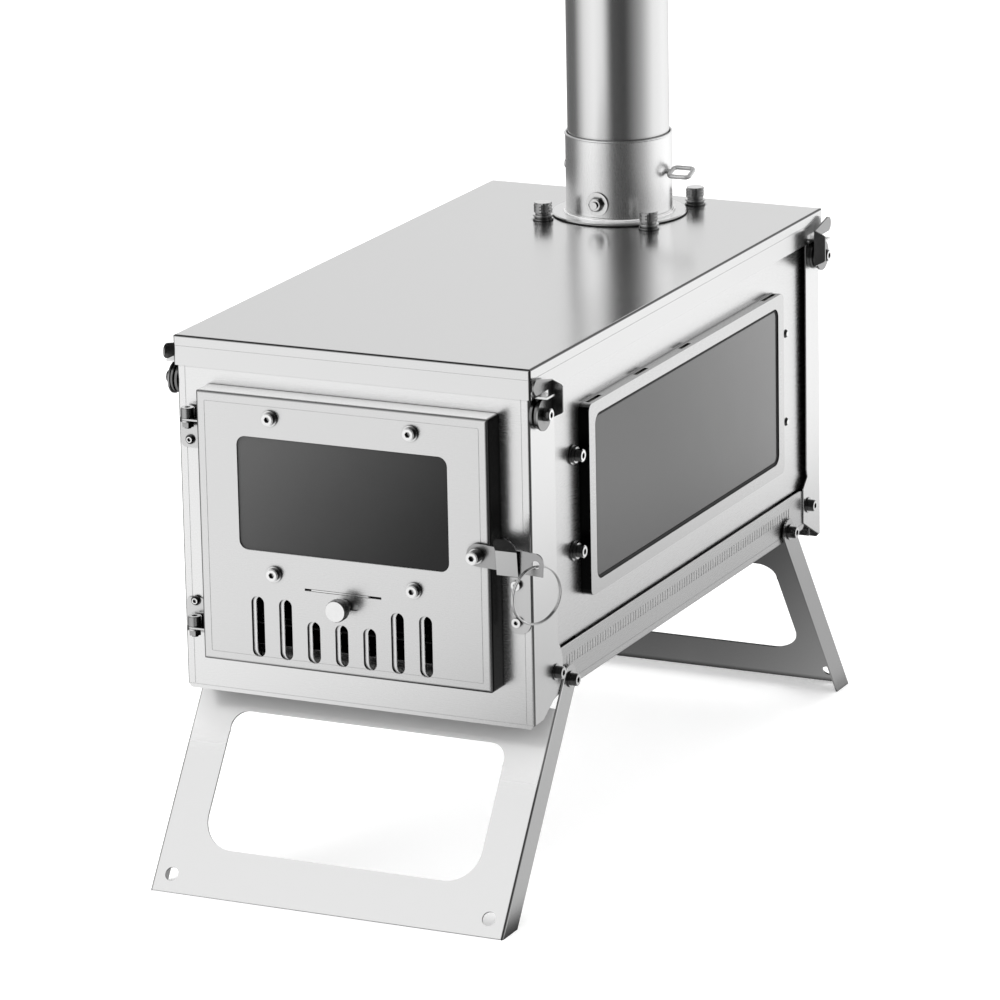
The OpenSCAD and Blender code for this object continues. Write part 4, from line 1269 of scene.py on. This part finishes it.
@dataclass
class Stove:
    """All the CAD nodes and new pieces, with their finishes."""

    nodes: dict
    bodies: dict
    splay: float = 34.5
    # Painted light: faces square to Z, the undersides among them, are pale and nearly matt.
    under: tuple[PaintedFacing, ...] = (PaintedFacing("Z", 0.85, 0.1),)

    def body_of(self, node: str) -> str:
        """Finds the name of the body that a CAD node rides on."""
        return next(body for body, nodes in self.bodies.items() if node in nodes)

    def mount(self, piece: Piece, node: str, finish: Material) -> None:
        """Gives a new piece its finish and lets it ride with a CAD node.

        Args:
            piece: the new piece.
            node: the CAD node that it moves with.
            finish: its material.
        """
        piece.data.materials.clear()
        piece.data.materials.append(finish)
        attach(piece, self.body_of(node))
        LOG.info("mounted %s with %s", piece.name, node)

    def fit(self) -> None:
        """Builds the new pieces and puts them on their bodies."""
        # Painted shade: a near-black finish for the black rings put where gaps are in shade.
        black = ShadeBlack("painted_shade_black", level=0.012).make()
        self.fit_grips()
        self.fit_flue(black)
        # Painted light: pale, nearly matt strips behind the vent slits.
        vent_light = SheetMetal("vent_light_sheet", level=0.85, roughness=0.4, grain=Grain.ALONG_Y,
                           metallic=0.2, gap_level=1.0).make()
        for strip in VentLightStrips().build():
            self.mount(strip, "base_tray", vent_light)
        # Painted shade: black rings in the side windows' reveals.
        for shade_ring in WindowShadeRings().build():
            self.mount(shade_ring, "side_glass_right", black)

    def fit_grips(self) -> None:
        """Fits the knurled nuts, their washers and the air knob."""
        # Painted highlights on the faces square to the named axes, painted shade on the rest and
        # in sockets.
        nut_steel = TurnedSteel("knurled_steel", bright_axes="Z", bright=0.9, dark=0.42,
                                roughness=0.24, socket_reach=0.0012, socket_level=0.05).make()
        knob_steel = TurnedSteel("knob_steel", bright_axes="Y", bright=0.92, dark=0.30,
                                 roughness=0.24, socket_reach=0.0012, socket_level=0.05).make()
        washer_steel = TurnedSteel("stud_washer_steel", bright_axes="Z", bright=0.75, dark=0.22,
                                   socket_reach=0.0015, socket_level=0.02).make()
        for nut in ThumbNuts().build():
            self.mount(nut, "thumb_nuts", nut_steel)
        for pair in StudWashers().build():
            self.mount(pair, "thumb_washers", washer_steel)
        self.mount(AirKnob().build(), "air_knob", knob_steel)

    def fit_flue(self, black: Material) -> None:
        """Fits the rings at the collar's foot and the pipe's weld seam.

        Args:
            black: finish of the black ring of painted shade.
        """
        # Painted shade: a black cord ring where the collar's foot meets the lid.
        shade_ring = FootRing("foot_gap_shade", radius=0.0400, cord=0.00042, height=0.00034).build()
        self.mount(shade_ring, "flue_collar", black)
        bead = FootRing("foot_bead", radius=0.0321, cord=0.0009, height=0.0016).build()
        # Painted highlight: the collar's bead is pale and mostly matt.
        bright = SheetMetal("foot_bead_steel", level=0.97, roughness=0.2, grain=Grain.NONE,
                            metallic=0.3, fold_shade=1.0, gap_level=0.9).make()
        self.mount(bead, "flue_collar", bright)
        dull = SheetMetal("weld_bead", level=0.55, roughness=0.34, grain=Grain.NONE,
                          fold_shade=1.0).make()
        self.mount(WeldSeam().build(), "flue_pipe", dull)

    def shade(self, finish: Finish, *names: str) -> None:
        """Gives CAD nodes one finish.

        Args:
            finish: the finish.
            names: the nodes to dress.
        """
        material = finish.make()
        for name in names:
            obj = self.nodes[name]
            if not obj.material_slots:
                obj.data.materials.append(material)
            for place in obj.material_slots:
                place.material = material
            LOG.info("dressed %s with %s", name, material.name)

    def dress(self) -> None:
        """Gives every CAD node its finish."""
        self.dress_body()
        self.dress_door()
        self.dress_windows()
        self.dress_lid_and_flue()
        self.dress_fittings()
        self.dress_fasteners()
        # Painted shade: near-black parts inside the firebox.
        self.shade(ShadeBlack("inner_painted_shade_steel"), "fire_grate", "flue_mount_plate", "door_glass_clamp",
                   "slider_guides", "damper_plate")

    def dress_body(self) -> None:
        """Dresses the firebox and the legs."""
        # Painted shade inside the firebox, painted light on faces square to Z.
        self.shade(
            SheetMetal("panel_sheet", level=0.86, roughness=0.24, gap_reach=0.0020,
                       painted_facings=self.under, inner=Room(0.1060, 0.2022, 0.1149)),
            "front_panel", "rear_panel")
        # Painted shade inside the firebox.
        self.shade(
            SheetMetal("side_sheet", level=0.82, roughness=0.25, grain=Grain.ALONG_Y,
                       gap_reach=0.0018, inner=Room(0.1025, 0.1975, 0.1149)),
            "side_panel_left", "side_panel_right")
        # Painted shade inside the firebox, painted light on faces square to Z.
        self.shade(
            SheetMetal("tray_sheet", level=0.66, roughness=0.25, grain=Grain.ALONG_Y,
                       painted_facings=self.under, inner=Room(0.1050, 0.183, 0.1149)),
            "base_tray")
        # Painted light: the front leg's upper part fades to a nearly matt surface.
        self.shade(
            SheetMetal("leg_front_sheet", level=0.76, roughness=0.19, lean=self.splay,
                       gap_level=0.6, dull=PaintedLightFade(0.066, 0.084, 0.74, 0.20)),
            "leg_front")
        self.shade(
            SheetMetal("leg_rear_sheet", level=0.60, roughness=0.19, lean=-self.splay),
            "leg_rear")

    def dress_door(self) -> None:
        """Dresses the door, its glass, its slider and its latch."""
        # Painted light and shade by facing: near-black side walls, matt grey top and bottom walls.
        self.shade(
            SheetMetal("door_sheet", level=0.75, roughness=0.24,
                       painted_facings=(PaintedFacing("X", 0.012), PaintedFacing("Z", 0.7, 0.1))),
            "door_shell")
        # Painted shade and light on the door glass.
        self.shade(
            PaintedShadeGlass("door_painted_shade_glass", deep=0.004, pale=0.11, across="X",
                        start=(0.06, 0.21), stop=(-0.05, 0.30)),
            "door_glass")
        # Painted highlight: the slider's faces square to X are pale and nearly matt.
        self.shade(SheetMetal("slider_sheet", level=0.9, roughness=0.3,
                              painted_facings=(PaintedFacing("X", 0.95, 0.3),)),
                   "air_slider")
        self.shade(SheetMetal("arm_sheet", level=0.42, roughness=0.22, fold_shade=0.3), "latch_arm")
        # Painted shade on the keeper's faces square to X and Z.
        self.shade(
            SheetMetal("keeper_sheet", level=0.66, roughness=0.22, fold_shade=0.25, gap_reach=0.003,
                       painted_facings=(PaintedFacing("X", 0.05), PaintedFacing("Z", 0.2))),
            "latch_keeper", "hinge_brackets", "door_hinge_ears")
        self.shade(SheetMetal("wire_steel", level=0.82, roughness=0.15, grain=Grain.NONE,
                              fold_shade=1.0, gap_level=0.7),
                   "latch_ring")

    def dress_windows(self) -> None:
        """Dresses the side windows' frames, glass and tape."""
        # Painted shade: the frames' faces square to Y are near black, those square to Z darker
        # grey.
        self.shade(
            SheetMetal("frame_sheet", level=0.70, roughness=0.24, grain=Grain.ALONG_Y,
                       painted_facings=(PaintedFacing("Y", 0.012), PaintedFacing("Z", 0.4, 0.7))),
            "side_frame_left", "side_frame_right")
        # Painted shade and light on the side glass.
        self.shade(
            PaintedShadeGlass("side_painted_shade_glass", deep=0.095, pale=0.235, across="Y",
                        start=(0.0, 0.18), stop=(0.16, 0.30)),
            "side_glass_left", "side_glass_right")
        self.shade(WovenFibre("fibre_tape"), "side_gasket_left", "side_gasket_right")

    def dress_lid_and_flue(self) -> None:
        """Dresses the lid, the collar, the pipe and the damper's handle."""
        # Painted shade inside the lid.
        self.shade(
            SheetMetal("lid_sheet", level=0.78, roughness=0.16, grain=Grain.ALONG_Y,
                       grain_depth=0.03, fold_shade=0.15, inner=Room(0.1071, 0.2034, 0.0, 0.3052)),
            "lid")
        self.shade(SheetMetal("pipe_sheet", level=0.84, roughness=0.18, grain=Grain.ALONG_Z,
                              fold_shade=1.0),
                   "flue_pipe")
        self.shade(
            SheetMetal("collar_sheet", level=0.97, roughness=0.25, grain=Grain.ALONG_Z,
                       grain_depth=0.015, cloud=0.02, fold_shade=1.0, gap_reach=0.003,
                       gap_level=0.55),
            "flue_collar")
        self.shade(SheetMetal("loop_steel", level=0.62, roughness=0.2, grain=Grain.NONE,
                              metallic=0.55, fold_shade=1.0, gap_level=0.8),
                   "damper_handle")

    def dress_fittings(self) -> None:
        """Dresses the corner latches and the solids under the knurled pieces."""
        latches = [f"corner_latch_{row}_{side}" for row in ("front", "rear")
                   for side in ("left", "right")]
        self.shade(SheetMetal("latch_sheet", level=0.36, roughness=0.2, grain=Grain.ALONG_Z,
                              fold_shade=0.3),
                   *latches)
        self.shade(TurnedSteel("plain_grip_steel", bright_axes="YZ"),
                   "thumb_nuts", "thumb_washers", "air_knob")

    def dress_fasteners(self) -> None:
        """Dresses the screws, bolts, rivets and washers."""
        # Painted highlights on the faces square to the named axes, painted shade on the rest and
        # in sockets.
        self.shade(TurnedSteel("front_screw_steel", bright_axes="Y"),
                   "door_screws", "hinge_bracket_screws", "keeper_screws",
                   "latch_pivot_screw", "collar_screw")
        self.shade(TurnedSteel("side_screw_steel", bright_axes="X"),
                   "side_frame_screws", "side_rivets", "panel_pivot_screws",
                   "leg_pivot_screws", "corner_latch_screws")
        self.shade(TurnedSteel("washer_steel", bright_axes="X", bright=0.8, dark=0.2),
                   "corner_latch_washers")
        self.shade(TurnedSteel("hinge_bolt_steel", bright_axes="Z", bright=0.85, dark=0.4),
                   "hinge_bolts")


def main() -> None:
    """Builds the scene piece by piece."""
    logging.basicConfig(level=logging.INFO, format="%(message)s")
    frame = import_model()
    PhotoCamera().build()
    stove = Stove(frame["nodes"], frame["record"]["behaviour"]["bodies"])
    stove.dress()
    stove.fit()
    Studio().build()


if __name__ == "__main__":
    main()
